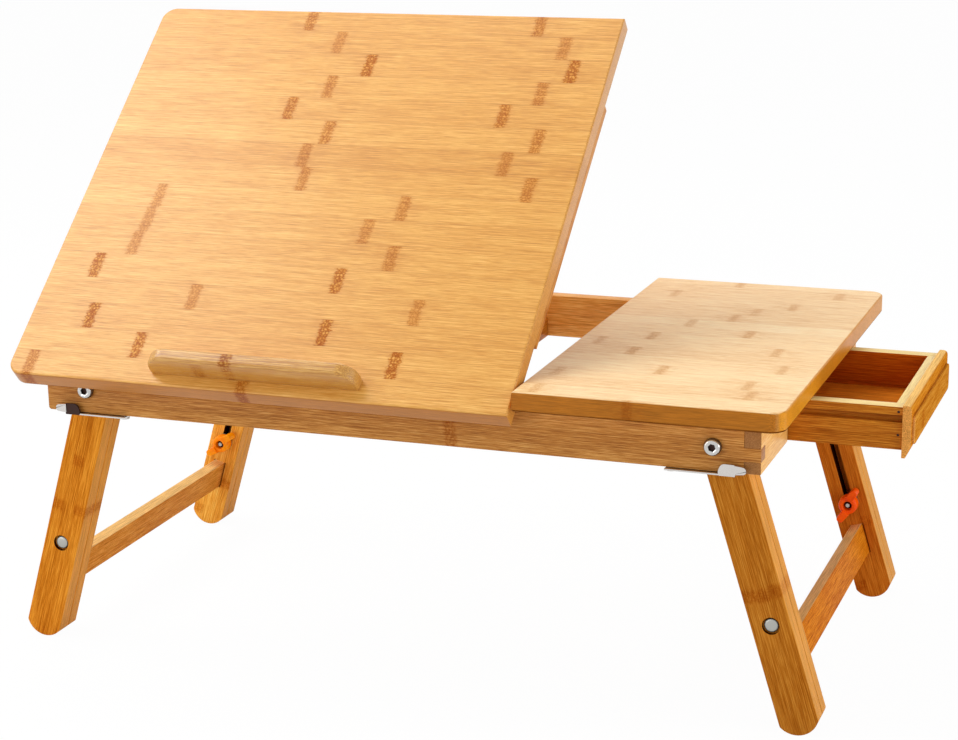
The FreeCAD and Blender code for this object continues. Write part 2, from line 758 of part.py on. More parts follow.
def stretcher(side):
    """Bar between the two inner boards of one side, tenoned into both."""
    reach = "rail_thick + leg_gap + " + INNER_FACE
    bar = box(side + "_stretcher_bar", ("-stretcher_thick / 2", INNER_FACE + " - tenon_length",
                                         "-stretcher_reach - stretcher_width"),
              ("stretcher_thick", "tray_depth - 2 * (" + reach + " - tenon_length)", "stretcher_width"))
    eased = ease(side + "_stretcher_eased", bar, 0.8, lambda edge: runs_along(edge, Y_AXIS))
    finish(eased, side + "_stretcher", leg_place(side, "front"))


def in_rows(label, side, build):
    """Group of one piece of hardware in the front leg and its twin in the back leg."""
    twins = []
    for row in ("front", "back"):
        twin = build("%s_%s" % (label, row))
        twin.Placement = leg_place(side, row)
        twins.append(twin)
    finish(group(label, twins), label, FreeCAD.Placement())


def clamp_bolt(name):
    """Carriage bolt: low domed head in the recess and a shank through both boards."""
    head = rod(name + "_head", ("0", "0.7", "-clamp_reach"), "4.8", "recess_depth - 0.7", Y_AXIS)
    dome = ease(name + "_dome", head, 1.2, lambda edge: edge.CenterOfMass.y < 0.71)
    shank = rod(name + "_shank", ("0", "1", "-clamp_reach"), "bolt_radius - 0.02",
                INNER_FACE + " + washer_thick + wing_hub_height - 2.6", Y_AXIS)
    tip = ease(name + "_tip", shank, 1.2, lambda edge: edge.CenterOfMass.y > 5)
    return fuse(name, [dome, tip])


def clamp_washer(name):
    """Flat washer between the slotted board and the wing nut."""
    disc = rod(name + "_disc", ("0", INNER_FACE, "-clamp_reach"), "washer_radius", "washer_thick", Y_AXIS)
    bore = rod(name + "_bore", ("0", INNER_FACE, "-clamp_reach"), "bolt_radius + 0.05", "washer_thick",
               Y_AXIS)
    return cut(name, disc, [bore])


def wing(name, start, low, tip):
    """One wing of a wing nut, set to one side of the hub's middle, with a rounded tip."""
    plate = box(name, (start, "2", low), ("wing_reach", "wing_height - 2", "wing_width"))
    return ease(name + "_tip", plate, 2.7,
                lambda edge: runs_along(edge, Y_AXIS) and abs(edge.CenterOfMass.x - tip) < 0.01)


def wing_nut(side, row):
    """Wing nut with a round hub and two rounded wings, turned as it was left after tightening."""
    label = "%s_%s_wing_nut" % (side, row)
    hub = rod(label + "_hub", ("0", "0", "0"), "wing_hub_radius", "wing_hub_height", Y_AXIS)
    rim = ease(label + "_rim", hub, 1.2, lambda edge: edge.CenterOfMass.y > dim.wing_hub_height - 0.1)
    mouth = rod(label + "_mouth", ("0", "wing_hub_height - wing_mouth_depth", "0"), "wing_mouth_radius",
                "wing_height", Y_AXIS)
    bore = rod(label + "_bore", ("0", "0", "0"), "bolt_radius + 0.03", "wing_height", Y_AXIS)
    wings = [
        wing(label + "_first", "0", "wing_offset - wing_width", dim.wing_reach),
        wing(label + "_second", "-wing_reach", "-wing_offset", -dim.wing_reach),
    ]
    turn = FRONT_WING_TURN[side] if row == "front" else WING_TURN[side]
    depth = dim.outer_thick + dim.board_gap + dim.inner_thick + dim.washer_thick
    seat = FreeCAD.Vector(0, depth, -dim.clamp_reach)
    place = leg_place(side, row) * FreeCAD.Placement(seat, FreeCAD.Rotation(Y_AXIS, turn))
    finish(cut(label, fuse(label + "_body", [rim, *wings]), [mouth, bore]), label, place)


def pivot_bolts():
    """Socket-head bolts on which the four legs turn."""
    bolts = []
    for side in ("left", "right"):
        for row in ("front", "back"):
            name = "pivot_bolt_%s_%s" % (side, row)
            start = "-leg_gap - rail_thick"
            head = rod(name + "_head", ("0", start + " - pivot_head_height", "0"), "pivot_head_radius",
                       "pivot_head_height", Y_AXIS)
            domed = ease(name + "_domed", head, 1.1,
                         lambda edge: edge.CenterOfMass.y < 0.1 - dim.leg_gap - dim.rail_thick
                         - dim.pivot_head_height)
            shank = rod(name + "_shank", ("0", start, "0"), "bolt_radius",
                        "rail_thick + leg_gap + outer_thick + board_gap + nut_height + 1", Y_AXIS)
            socket = hex_prism(name + "_socket", dim.hex_key, "pivot_head_height - 1.4")
            socket.Placement.Base.y = -dim.leg_gap - dim.rail_thick - dim.pivot_head_height
            bolt = cut(name, fuse(name + "_body", [domed, shank]), [socket])
            bolt.Placement = leg_place(side, row)
            bolts.append(bolt)
    finish(group("leg_pivot_bolts", bolts), "leg_pivot_bolts", FreeCAD.Placement())


def pivot_nuts():
    """Lock nuts on the inner ends of the pivot bolts."""
    nuts = []
    for side in ("left", "right"):
        for row in ("front", "back"):
            name = "pivot_nut_%s_%s" % (side, row)
            nut = hex_prism(name + "_blank", dim.nut_flats, "nut_height")
            nut.Placement.Base.y = (dim.outer_thick + dim.board_gap)
            bore = rod(name + "_bore", ("0", "outer_thick + board_gap", "0"), "bolt_radius", "nut_height",
                       Y_AXIS)
            drilled = cut(name, nut, [bore])
            drilled.Placement = leg_place(side, row)
            nuts.append(drilled)
    finish(group("leg_pivot_nuts", nuts), "leg_pivot_nuts", FreeCAD.Placement())


def hex_prism(name, flats, length):
    """Six-sided prism along +y."""
    prism = doc.addObject("Part::Prism", name)
    prism.Polygon = 6
    prism.Circumradius = flats / math.sqrt(3)
    bind(prism, "Height", length)
    prism.Placement.Rotation = FreeCAD.Rotation(Z_AXIS, Y_AXIS)
    return prism


# ---- spring clips ---------------------------------------------------------

def latch_clip(side):
    """Spring clip under the front rail, its finger tab bent up in front of the rail."""
    label = side + "_latch_clip"
    face = "-clip_gap - clip_thick"
    strip = box(label + "_strip", ("clip_start + clip_tab / 2", "-4", face),
                ("clip_strip_end - clip_start - clip_tab / 2", "clip_depth", "clip_thick"))
    tab = box(label + "_tab", ("clip_start + clip_nose", "-4", face),
              ("clip_tab - clip_nose", "clip_thick", "clip_tab_height"))
    rounded = ease(label + "_tab_rounded", tab, 2.2,
                   lambda edge: runs_along(edge, Y_AXIS) and edge.CenterOfMass.z > 3)
    nose = box(label + "_nose", ("clip_start", "-4.6", "1.4 - clip_gap - clip_thick"),
               ("clip_nose + 1", "clip_thick + 0.4", "6.2"))
    blunt = ease(label + "_nose_rounded", nose, 2.6,
                 lambda edge: runs_along(edge, Y_AXIS) and edge.CenterOfMass.x < dim.clip_start + 1)
    hole = rod(label + "_hole", ("clip_pivot", "3", face), "2.1", "clip_thick")
    clip = cut(label + "_cut", fuse(label + "_body", [strip, rounded, blunt]), [hole])
    finish(mirrored_if_right(clip, side), label, TRAY)


def latch_screws():
    """Pan-head screws that hold the two clips to the front rail."""
    screws = []
    for side, x in (("left", "clip_pivot"), ("right", "tray_length - clip_pivot")):
        name = "latch_screw_" + side
        head = rod(name + "_head", (x, "3", "-clip_gap - clip_thick - 1.4"), "3.2", "0.9")
        shank = rod(name + "_shank", (x, "3", "-clip_gap - clip_thick - 0.5"), "clip_screw_radius",
                    "clip_gap + clip_thick + 0.5 + clip_screw_reach")
        screws.append(fuse(name, [head, shank]))
    finish(group("latch_screws", screws), "latch_screws", TRAY)


def mirrored_if_right(solid, side):
    """The solid itself on the left, or its mirror image about the tray's middle on the right."""
    if side == "left":
        return solid
    twin = doc.addObject("Part::Mirroring", solid.Name + "_mirrored")
    twin.Source = solid
    twin.Normal = X_AXIS
    twin.Base = FreeCAD.Vector((dim.tray_length / 2), 0, 0)
    return twin


# ---- drawer (drawn closed, placed pulled out) ------------------------------

WALL_LINES = (("front", "tray_length - drawer_wall / 2"), ("back", GUIDE_START + " + drawer_wall / 2"))


def drawer_side(label, y, groove_y):
    """Side of the drawer, grooved along its outer face for the runner."""
    blank = box(label + "_blank", (GUIDE_START, y, "drawer_bottom_z"),
                ("drawer_length", "drawer_side", "drawer_top_z - drawer_bottom_z"))
    groove = box(label + "_groove", (GUIDE_START, groove_y, "groove_bottom"),
                 ("drawer_length", "groove_depth", "groove_height"))
    tools = [groove]
    for step, z in enumerate(("10.6", "26.2")):
        for end, x in WALL_LINES:
            tools.append(rod("%s_%s_brad_hole%d" % (label, end, step), (x, y, z), "brad_radius",
                             "drawer_side", Y_AXIS))
    finish(cut(label, blank, tools), label, DRAWER)


def drawer_wall(label, x):
    """End wall between the drawer's sides, bored for the brads."""
    inner = DRAWER_LOW_Y + " + drawer_side"
    blank = box(label + "_blank", (x, inner, "drawer_bottom_z"),
                ("drawer_wall", "drawer_width - 2 * drawer_side", "drawer_top_z - drawer_bottom_z"))
    tools = []
    for step, z in enumerate(("10.6", "26.2")):
        for end, y in (("near", inner), ("far", DRAWER_HIGH_Y + " - drawer_side - 10")):
            tools.append(rod("%s_%s_hole%d" % (label, end, step), (x + " + drawer_wall / 2", y, z),
                             "brad_radius", "10", Y_AXIS))
    finish(cut(label, blank, tools), label, DRAWER)


def drawer_bottom():
    """Thin bottom panel between the four walls."""
    board = box("drawer_bottom_blank", (GUIDE_START + " + drawer_wall", DRAWER_LOW_Y + " + drawer_side",
                                        "drawer_bottom_z + 1"),
                ("drawer_length - 2 * drawer_wall", "drawer_width - 2 * drawer_side", "drawer_floor"))
    finish(board, "drawer_bottom", DRAWER)


def drawer_brads():
    """Brads through the sides into the end walls."""
    brads = []
    sides = (("near", DRAWER_LOW_Y + " + 0.3"), ("far", DRAWER_HIGH_Y + " - drawer_side - 10"))
    for end, x in WALL_LINES:
        for step, z in enumerate(("10.6", "26.2")):
            for side, y in sides:
                brads.append(rod("brad_%s_%s_%d" % (end, side, step), (x, y, z), "brad_radius",
                                 "drawer_side + 9.7", Y_AXIS))
    finish(group("drawer_brads", brads), "drawer_brads", DRAWER)


def drawer_front_board():
    """Front board with a rounded top and a long bevel under its outer face."""
    low = -dim.front_board_drop
    outer = (dim.tray_length + dim.front_board_thick)
    corner = ("tray_length", "drawer_middle - front_board_width / 2", "-front_board_drop")
    blank = box("front_board_blank", corner, ("front_board_thick", "front_board_width", "front_board_height"))
    top = low + dim.front_board_height

    def top_edge(edge, outside):
        return (runs_along(edge, Y_AXIS) and edge.CenterOfMass.z > top - 0.1
                and (edge.CenterOfMass.x > outer - 0.1) == outside)

    inner = ease("front_board_eased", blank, 0.8, lambda edge: top_edge(edge, False))
    rounded = ease("front_board_rounded", inner, 3.0, lambda edge: top_edge(edge, True))
    doc.recompute()
    bevelled = doc.addObject("Part::Chamfer", "front_board_bevelled")
    bevelled.Base = rounded
    bevelled.Edges = [
        (i, 8.0, 3.6) for i, edge in enumerate(rounded.Shape.Edges, start=1)
        if runs_along(edge, Y_AXIS) and edge.CenterOfMass.z < low + 0.1 and edge.CenterOfMass.x > outer - 0.1
    ]
    finish(bevelled, "drawer_front_board", DRAWER)


def drawer_pull_plate():
    """Raised plate on the front board, with rounded corners and eased edges."""
    blank = box("pull_plate_blank", ("tray_length + front_board_thick", "drawer_middle - plate_width / 2",
                                     "-front_board_drop + plate_rise"),
                ("plate_thick", "plate_width", "plate_height"))
    cornered = ease("pull_plate_cornered", blank, 3.5, lambda edge: runs_along(edge, X_AXIS))
    outer = (dim.tray_length + dim.front_board_thick + dim.plate_thick)
    eased = ease("pull_plate_eased", cornered, 0.9, lambda edge: edge.CenterOfMass.x > outer - 0.1)
    finish(eased, "drawer_pull_plate", DRAWER)


# ---- build ----------------------------------------------------------------

def build_tray():
    """Everything fixed to the tray."""
    long_rail("front_rail", "0", True)
    long_rail("back_rail", "tray_depth - rail_thick", False)
    left_end_rail()
    right_end_rail("right_front_end_rail", "0", DRAWER_LOW_Y + " - guide_gap", "0")
    right_end_rail("right_back_end_rail", DRAWER_HIGH_Y + " + guide_gap",
                   "tray_depth - (" + DRAWER_HIGH_Y + " + guide_gap)", "tray_depth - rail_thick")
    fixed_side_panel()
    low = DRAWER_LOW_Y + " - guide_gap"
    high = DRAWER_HIGH_Y + " + guide_gap"
    drawer_guide("front_drawer_guide", low + " - guide_thick", low + " - 3")
    drawer_guide("back_drawer_guide", high, high)
    drawer_runner("front_drawer_runner", low + " - 3")
    drawer_runner("back_drawer_runner", high + " - 4")
    drawer_stop_board()
    notch_rail("left_notch_rail", "left_notch_rail")
    notch_rail("right_notch_rail", "right_notch_rail")
    hinge_leaves("hinge_rail_leaves", -1, FreeCAD.Placement(hinge_spot, FreeCAD.Rotation()), RAIL_BARRELS)
    hinge_pins()
    hinge_screws("hinge_rail_screws", -1, FreeCAD.Placement(hinge_spot, FreeCAD.Rotation()))
    pivot_bolts()
    pivot_nuts()
    latch_screws()
    for side in ("left", "right"):
        latch_clip(side)


def build_tilting_top():
    """Tilting panel with what is fixed to it, and its prop."""
    tilt_panel()
    book_ledge()
    panel_batten("left_panel_batten", "tilt_start + batten_inset")
    panel_batten("right_panel_batten", "tilt_start + tilt_width - batten_inset - batten_width")
    hinge_leaves("hinge_panel_leaves", 1, TILT_PANEL, PANEL_BARRELS)
    hinge_screws("hinge_panel_screws", 1, TILT_PANEL)
    prop_brackets()
    prop_pins()
    prop_arm("prop_left_arm", PROP_LEFT)
    prop_arm("prop_right_arm", PROP_RIGHT + " - prop_arm_width")
    prop_foot_rod()
    prop_cross_bar()


def build_legs():
    """Both pairs of legs."""
    for side in ("left", "right"):
        for row in ("front", "back"):
            outer_leg(side, row)
            inner_leg(side, row)
            wing_nut(side, row)
        stretcher(side)
        in_rows(side + "_clamp_bolts", side, clamp_bolt)
        in_rows(side + "_clamp_washers", side, clamp_washer)


def build_drawer():
    """Drawer box and its front."""
    drawer_side("drawer_front_side", DRAWER_LOW_Y, DRAWER_LOW_Y)
    drawer_side("drawer_back_side", DRAWER_HIGH_Y + " - drawer_side", DRAWER_HIGH_Y + " - groove_depth")
    drawer_wall("drawer_front_wall", "tray_length - drawer_wall")
    drawer_wall("drawer_back_wall", GUIDE_START)
    drawer_bottom()
    drawer_brads()
    drawer_front_board()
    drawer_pull_plate()


def check_and_export():
    """Stop on any failed object, then write one STEP file for each piece."""
    doc.recompute()
    failed = [o.Name for o in doc.Objects if "Invalid" in o.State or "Error" in o.State]
    if failed:
        raise RuntimeError("failed objects: " + ", ".join(failed))
    for piece in pieces:
        if piece.Shape.isNull() or not piece.Shape.isValid():
            raise RuntimeError("bad shape: " + piece.Label)
    os.makedirs("parts", exist_ok=True)
    for piece in pieces:
        piece.Shape.exportStep("parts/%s.step" % piece.Label)
    print("%d pieces written" % len(pieces))


build_tray()
build_tilting_top()
build_legs()
build_drawer()
check_and_export()
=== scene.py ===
"""Folding laptop table in laminated bamboo: its boards, hardware, light and camera."""

import json
import logging
import math
from dataclasses import dataclass, replace
from enum import Enum
from typing import Callable, Sequence

import bmesh
import bpy
from mathutils import Matrix, Vector


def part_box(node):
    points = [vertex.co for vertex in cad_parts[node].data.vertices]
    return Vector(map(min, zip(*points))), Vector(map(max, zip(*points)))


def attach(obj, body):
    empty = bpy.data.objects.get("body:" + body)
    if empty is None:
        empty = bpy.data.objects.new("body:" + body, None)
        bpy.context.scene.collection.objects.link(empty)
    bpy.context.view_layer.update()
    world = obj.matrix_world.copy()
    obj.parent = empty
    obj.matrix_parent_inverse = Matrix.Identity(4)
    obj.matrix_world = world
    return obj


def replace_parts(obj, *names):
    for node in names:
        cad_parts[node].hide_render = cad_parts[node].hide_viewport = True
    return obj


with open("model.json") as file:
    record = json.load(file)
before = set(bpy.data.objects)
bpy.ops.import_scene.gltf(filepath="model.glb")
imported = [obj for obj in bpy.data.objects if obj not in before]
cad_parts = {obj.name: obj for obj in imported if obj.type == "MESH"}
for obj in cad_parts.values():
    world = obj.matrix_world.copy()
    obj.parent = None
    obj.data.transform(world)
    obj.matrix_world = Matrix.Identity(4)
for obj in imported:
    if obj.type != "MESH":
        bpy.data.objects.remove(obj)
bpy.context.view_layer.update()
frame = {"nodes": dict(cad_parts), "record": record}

logging.basicConfig(level=logging.INFO, format="%(name)s: %(message)s")
LOG = logging.getLogger("laptop_table")

MM = 0.001
TRAY_LENGTH = 512.0
TRAY_DEPTH = 312.0
TRAY_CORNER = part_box("front_rail")[0]
BODY_OF = {node: body for body, nodes in frame["record"]["behaviour"]["bodies"].items() for node in nodes}

Colour = tuple[float, float, float]
Socket = bpy.types.NodeSocket
Place = tuple[Socket, Socket, Socket]
Paint = bpy.types.Material
Mesh = bpy.types.Mesh
Piece = bpy.types.Object
Shells = bmesh.types.BMesh


class Side(Enum):
    """End of the table; the value is the sign of its outward X direction."""

    LEFT = -1
    RIGHT = 1


class Row(Enum):
    """Front or back legs; the value is the sign of the direction from the rail inwards."""

    FRONT = 1
    BACK = -1


def at(x: float, y: float, z: float) -> Vector:
    """Point in metres from millimetres measured at the tray's front left lower corner."""
    return TRAY_CORNER + Vector((x, y, z)) * MM


def tint(*shown: float) -> Colour:
    """Linear colour from display values of red, green and blue between 0 and 255."""
    parts = (value / 255 for value in shown)
    return tuple(c / 12.92 if c <= 0.04045 else ((c + 0.055) / 1.055) ** 2.4 for c in parts)


# ---- node graphs


class Graph:
    """Small helper that writes the node graph of one material or world."""

    def __init__(self, owner: Paint | bpy.types.World) -> None:
        """Empties the owner's graph.

        Args:
            owner: the material or world that the graph belongs to.
        """
        self.owner = owner
        owner.use_nodes = True
        self.tree = owner.node_tree
        self.tree.nodes.clear()

    def node(self, kind: str, inputs: dict | None = None, **settings: object) -> bpy.types.Node:
        """Adds one node.

        Args:
            kind: type of the node, without its ShaderNode prefix.
            inputs: input names or numbers with the value or socket for each.
            settings: attributes of the node.

        Returns:
            The new node.
        """
        made = self.tree.nodes.new("ShaderNode" + kind)
        for key, value in settings.items():
            setattr(made, key, value)
        for key, value in (inputs or {}).items():
            self.feed(made.inputs[key], value)
        return made

    def feed(self, socket: Socket, value: object) -> None:
        """Links a socket or sets a plain value on an input.

        Args:
            socket: the input.
            value: a socket to link to it, or a number, colour, vector or turn to set on it.
        """
        if isinstance(value, bpy.types.NodeSocket):
            self.tree.links.new(value, socket)
        elif isinstance(value, tuple) and len(value) == 3 and socket.type == "RGBA":
            socket.default_value = (*value, 1.0)
        else:
            socket.default_value = value

    def math(self, operation: str, *values: object) -> Socket:
        """Result of a math node on two or three values."""
        return self.node("Math", dict(enumerate(values)), operation=operation).outputs[0]

    def vector(self, x: object, y: object, z: object) -> Socket:
        """Vector from three numbers or sockets."""
        return self.node("CombineXYZ", {0: x, 1: y, 2: z}).outputs[0]

    def shrunk(self, place: Place, *sizes: float) -> Socket:
        """Vector of a place divided by a size along each axis."""
        return self.vector(*(self.math("DIVIDE", axis, size) for axis, size in zip(place, sizes)))

    def noise(self, place: Socket, detail: float, roughness: float = 0.5, scale: float = 1.0) -> Socket:
        """Noise between 0 and 1."""
        inputs = {"Vector": place, "Scale": scale, "Detail": detail, "Roughness": roughness}
        return self.node("TexNoise", inputs).outputs[0]

    def hash(self, number: Socket, seed: float) -> Socket:
        """Random number between 0 and 1 for a whole number."""
        place = self.vector(number, seed, 0.5)
        return self.node("TexWhiteNoise", {"Vector": place}, noise_dimensions="3D").outputs["Value"]

    def step(self, value: Socket, low: float, high: float) -> Socket:
        """Smooth step from 0 at low to 1 at high; low may be the larger."""
        inputs = {"Value": value, "From Min": low, "From Max": high, "To Min": 0.0, "To Max": 1.0}
        return self.node("MapRange", inputs, interpolation_type="SMOOTHSTEP").outputs[0]

    def mix(self, amount: object, first: object, second: object, blend: str = "MIX") -> Socket:
        """Mix of two colours."""
        inputs = {0: amount, 6: first, 7: second}
        return self.node("Mix", inputs, data_type="RGBA", blend_type=blend).outputs[2]

    def cells(self, place: Socket, scale: float, randomness: float = 1.0, kind: str = "F1") -> Socket:
        """Distance within a pattern of random cells."""
        inputs = {"Vector": place, "Scale": scale, "Randomness": randomness}
        return self.node("TexVoronoi", inputs, feature=kind).outputs["Distance"]

    def facing(self, normal: Socket, way: Vector) -> Socket:
        """How squarely a surface faces a direction or its opposite, from 0 to 1."""
        dot = self.node("VectorMath", {0: normal, 1: way.normalized()}, operation="DOT_PRODUCT")
        return self.math("ABSOLUTE", dot.outputs["Value"])

    def ramp(self, value: Socket, stops: Sequence[tuple[float, Colour]], steps: bool = False) -> Socket:
        """Colour ramp.

        Args:
            value: number between 0 and 1.
            stops: position and colour of each stop.
            steps: holds each colour up to the next stop.

        Returns:
            The colour socket.
        """
        ramp = self.node("ValToRGB", {0: value})
        ramp.color_ramp.interpolation = "CONSTANT" if steps else "LINEAR"
        elements = ramp.color_ramp.elements
        while len(elements) < len(stops):
            elements.new(1.0)
        for element, (position, colour) in zip(elements, stops):
            element.position = position
            element.color = (*colour, 1.0)
        return ramp.outputs[0]

    def finish(self, inputs: dict) -> Paint:
        """Closes the graph with a principled surface.

        Args:
            inputs: principled input names with their values or sockets.

        Returns:
            The finished material.
        """
        shader = self.node("BsdfPrincipled", inputs)
        self.node("OutputMaterial", {"Surface": shader.outputs[0]})
        return self.owner


# ---- finishes


@dataclass(frozen=True)
class Grain:
    """Where a board lies: its origin, the direction of its fibres and the direction across its strips."""

    origin: Vector
    along: Vector
    across: Vector

    def rotation(self) -> tuple[float, float, float]:
        """Euler angles that turn X, Y and Z to the fibres, the strips and the thickness."""
        along, across = self.along.normalized(), self.across.normalized()
        return tuple(Matrix((along, across, along.cross(across))).transposed().to_euler())


@dataclass(frozen=True)
class KnotRows:
    """Places of the culm nodes, strip by strip, as fractions of a span along the fibres."""

    start: float
    span: float
    first: tuple[float, ...]
    second: tuple[float, ...]

    def stops(self, row: tuple[float, ...]) -> list[tuple[float, Colour]]:
        """Stops of a stepped ramp that gives each strip its place, as a fraction of the span."""
        return [(i / len(row), ((place - self.start) / self.span,) * 3) for i, place in enumerate(row)]


RELIEF = 0.0004  # depth of the bumps, in metres
FIBRE_SHEEN = 0.08  # how much smoother the palest fibres are
STREAKS = ((30.0, 0.5, 1.2), (10.0, 0.3, 0.9), (120.0, 3.4, 0.3))  # length, width, weight
STRIP_SHIFT = 400.0  # how far the streaks of one strip may be moved along it
SEAM_EDGES = (0.028, 0.008)  # from where a glue line darkens, in widths of a strip
SEAM_SHADE = 0.28
NODE_EDGE = 1.2  # half the width over which a node fades out
NODE_STRAY = 9.0  # how far its ragged edge strays
NODE_SHEEN = 0.75  # how much of the varnish's shine it loses
NODE_SPECK = (7.0, 1.1, 1.1)  # size of the specks on its edge, along, across and through
NODE_SHARES = (0.6, 0.55)  # part of its strength that is left to chance, and part that is always there
STAIN_REACH = 24.0  # how far the faint stain beside it goes
CURL_SCALE, DOT_SCALE = 0.5, 0.43  # dark curls and pale dots in it, per millimetre
PORE_SIZE, PORE_SCALE = (4.0, 1.0, 1.0), 1.3


@dataclass(frozen=True)
class Bamboo:
    """Laminated bamboo: glued strips with streaky fibres, speckled nodes and stippled end grain.

    Lengths are in millimetres. The side colour is for faces across the strips, above side_from.
    """

    name: str
    deep: Colour
    middle: Colour
    pale: Colour
    knot: Colour
    strip: float = 21.8
    offset: float = 0.0
    tone: float = 0.1
    streak: float = 1.0
    knots: KnotRows | None = None
    knot_pitch: float = 230.0
    knot_half: float = 4.0
    knot_strength: float = 0.75
    scorch: Colour = (0.7, 0.44, 0.14)
    smudge: float = 0.25
    end_shade: float = 0.25
    side: Colour | None = None
    side_from: float = -1000.0
    end: Colour | None = None
    gloss: float = 0.15
    coat: float = 0.0
    roughness: float = 0.42
    seed: float = 1.0

    def retinted(self, red: float, green: float, blue: float) -> "Bamboo":
        """Same bamboo in another tone.

        Args:
            red: factor on the red of each wood colour.
            green: factor on the green.
            blue: factor on the blue.

        Returns:
            The new finish.
        """
        def tone(colour: Colour) -> Colour:
            """One colour in the new tone."""
            return tuple(min(1.0, c * k) for c, k in zip(colour, (red, green, blue)))

        return replace(self, deep=tone(self.deep), middle=tone(self.middle), pale=tone(self.pale))

    def material(self, name: str, grain: Grain) -> Paint:
        """Builds the material for boards that share one grain direction.

        Args:
            name: name of the board or group of boards.
            grain: origin and directions of the board, in the table's frame.

        Returns:
            The new material.
        """
        g = Graph(bpy.data.materials.new(f"{self.name}_{name}"))
        coords = g.node("TexCoord")
        inputs = {"Vector": coords.outputs["Object"], "Location": grain.origin,
                  "Rotation": grain.rotation(), "Scale": (MM, MM, MM)}
        turned_place = g.node("Mapping", inputs, vector_type="TEXTURE").outputs[0]
        place = tuple(g.node("SeparateXYZ", {0: turned_place}).outputs)
        cell = g.math("DIVIDE", g.math("SUBTRACT", place[1], self.offset), self.strip)
        index, part = g.math("FLOOR", cell), g.math("FRACT", cell)
        luck = [g.hash(index, self.seed + k) for k in range(4)]

        value = self.fibres(g, place, luck)
        colour = g.ramp(value, [(0.0, self.deep), (0.5, self.middle), (1.0, self.pale)])
        seam = g.step(g.math("MINIMUM", part, g.math("SUBTRACT", 1.0, part)), *SEAM_EDGES)
        colour = g.mix(g.math("MULTIPLY", seam, SEAM_SHADE), colour, self.deep)
        colour, end = self.add_ends(g, colour, value, coords.outputs["Normal"], grain, place)
        colour, band = self.add_knots(g, colour, place, index, luck)

        relief = g.math("ADD", g.math("MULTIPLY", value, 0.5), g.math("MULTIPLY", end, -0.3))
        soft = g.node("Bump", {"Strength": 0.12, "Distance": RELIEF, "Height": relief})
        shine = g.math("MULTIPLY_ADD", value, -FIBRE_SHEEN, self.roughness)
        polish = g.math("SUBTRACT", 1.0, g.math("MULTIPLY", band, NODE_SHEEN))
        return g.finish({
            "Base Color": colour,
            "Roughness": shine,
            "Normal": soft.outputs[0],
            "Specular IOR Level": g.math("MULTIPLY", polish, self.gloss),
            "Coat Weight": g.math("MULTIPLY", polish, self.coat),
            "Coat Roughness": 0.3,
        })

    def fibres(self, g: Graph, place: Place, luck: list[Socket]) -> Socket:
        """Streaks along the fibres, as a number around one half.

        Args:
            g: graph of the material.
            place: coordinates along, across and through the board, in millimetres.
            luck: random numbers of the strip.

        Returns:
            Brightness of the wood before it gets its colour.
        """
        u, v, w = place
        moved = g.math("ADD", u, g.math("MULTIPLY", luck[0], STRIP_SHIFT))
        total = g.math("MULTIPLY", g.math("SUBTRACT", luck[1], 0.5), self.tone * 2)
        for length, width, weight in STREAKS:
            point = g.shrunk((moved, v, w), length, width, width)
            wave = g.math("SUBTRACT", g.noise(point, 2.5, 0.6), 0.5)
            total = g.math("MULTIPLY_ADD", wave, weight * 2 * self.streak, total)
        return g.math("ADD", total, 0.5)

    def add_knots(
        self, g: Graph, colour: Socket, place: Place, index: Socket, luck: list[Socket]
    ) -> tuple[Socket, Socket]:
        """Speckled brown nodes across each strip, with a faint stain beside them.

        Args:
            g: graph of the material.
            colour: colour of the wood so far.
            place: coordinates along, across and through the board, in millimetres.
            index: number of the strip.
            luck: random numbers of the strip.

        Returns:
            The colour with the nodes in it, and how much of a node is at each point.
        """
        if self.knots:
            strip, gaps = g.math("DIVIDE", g.math("ADD", index, 0.5), float(len(self.knots.first))), []
            for row in (self.knots.first, self.knots.second):
                fraction = g.ramp(strip, self.knots.stops(row), steps=True)
                centre = g.math("MULTIPLY_ADD", fraction, self.knots.span, self.knots.start)
                gaps.append(g.math("ABSOLUTE", g.math("SUBTRACT", place[0], centre)))
            gap = g.math("MINIMUM", *gaps)
        else:
            shifted = g.math("MULTIPLY_ADD", luck[2], self.knot_pitch, place[0])
            gap = g.math("PINGPONG", shifted, self.knot_pitch / 2)
        jag = g.noise(g.shrunk(place, *NODE_SPECK), 2.0, 0.6)
        gap = g.math("MULTIPLY_ADD", g.math("SUBTRACT", jag, 0.5), NODE_STRAY, gap)
        band = g.step(gap, self.knot_half + NODE_EDGE, self.knot_half - NODE_EDGE)
        stain = g.math("MULTIPLY", g.step(gap, STAIN_REACH, 0.0), g.step(jag, 0.42, 0.62))
        spot = g.vector(*place)
        curls, dots = g.cells(spot, CURL_SCALE, kind="DISTANCE_TO_EDGE"), g.cells(spot, DOT_SCALE)
        more, least = (share * self.knot_strength for share in NODE_SHARES)
        strength = g.math("MULTIPLY_ADD", luck[3], more, least)
        band = g.math("MULTIPLY", band, strength)
        plain = colour
        colour = g.mix(g.math("MULTIPLY", stain, self.smudge), colour, self.scorch, "MULTIPLY")
        colour = g.mix(g.math("MULTIPLY", band, 0.8), colour, self.scorch, "MULTIPLY")
        rims = g.math("MULTIPLY", band, g.step(curls, 0.2, 0.06))
        colour = g.mix(rims, colour, self.scorch, "MULTIPLY")
        light = g.math("MULTIPLY", band, g.step(dots, 0.5, 0.2))
        return g.mix(light, colour, plain), band

    def mottled(self, g: Graph, value: Socket, colour: Colour) -> Socket:
        """One colour, a little darker and paler with the fibres."""
        darker, paler = (tuple(min(1.0, c * k) for c in colour) for k in (0.72, 1.14))
        return g.ramp(value, [(0.1, darker), (0.9, paler)])

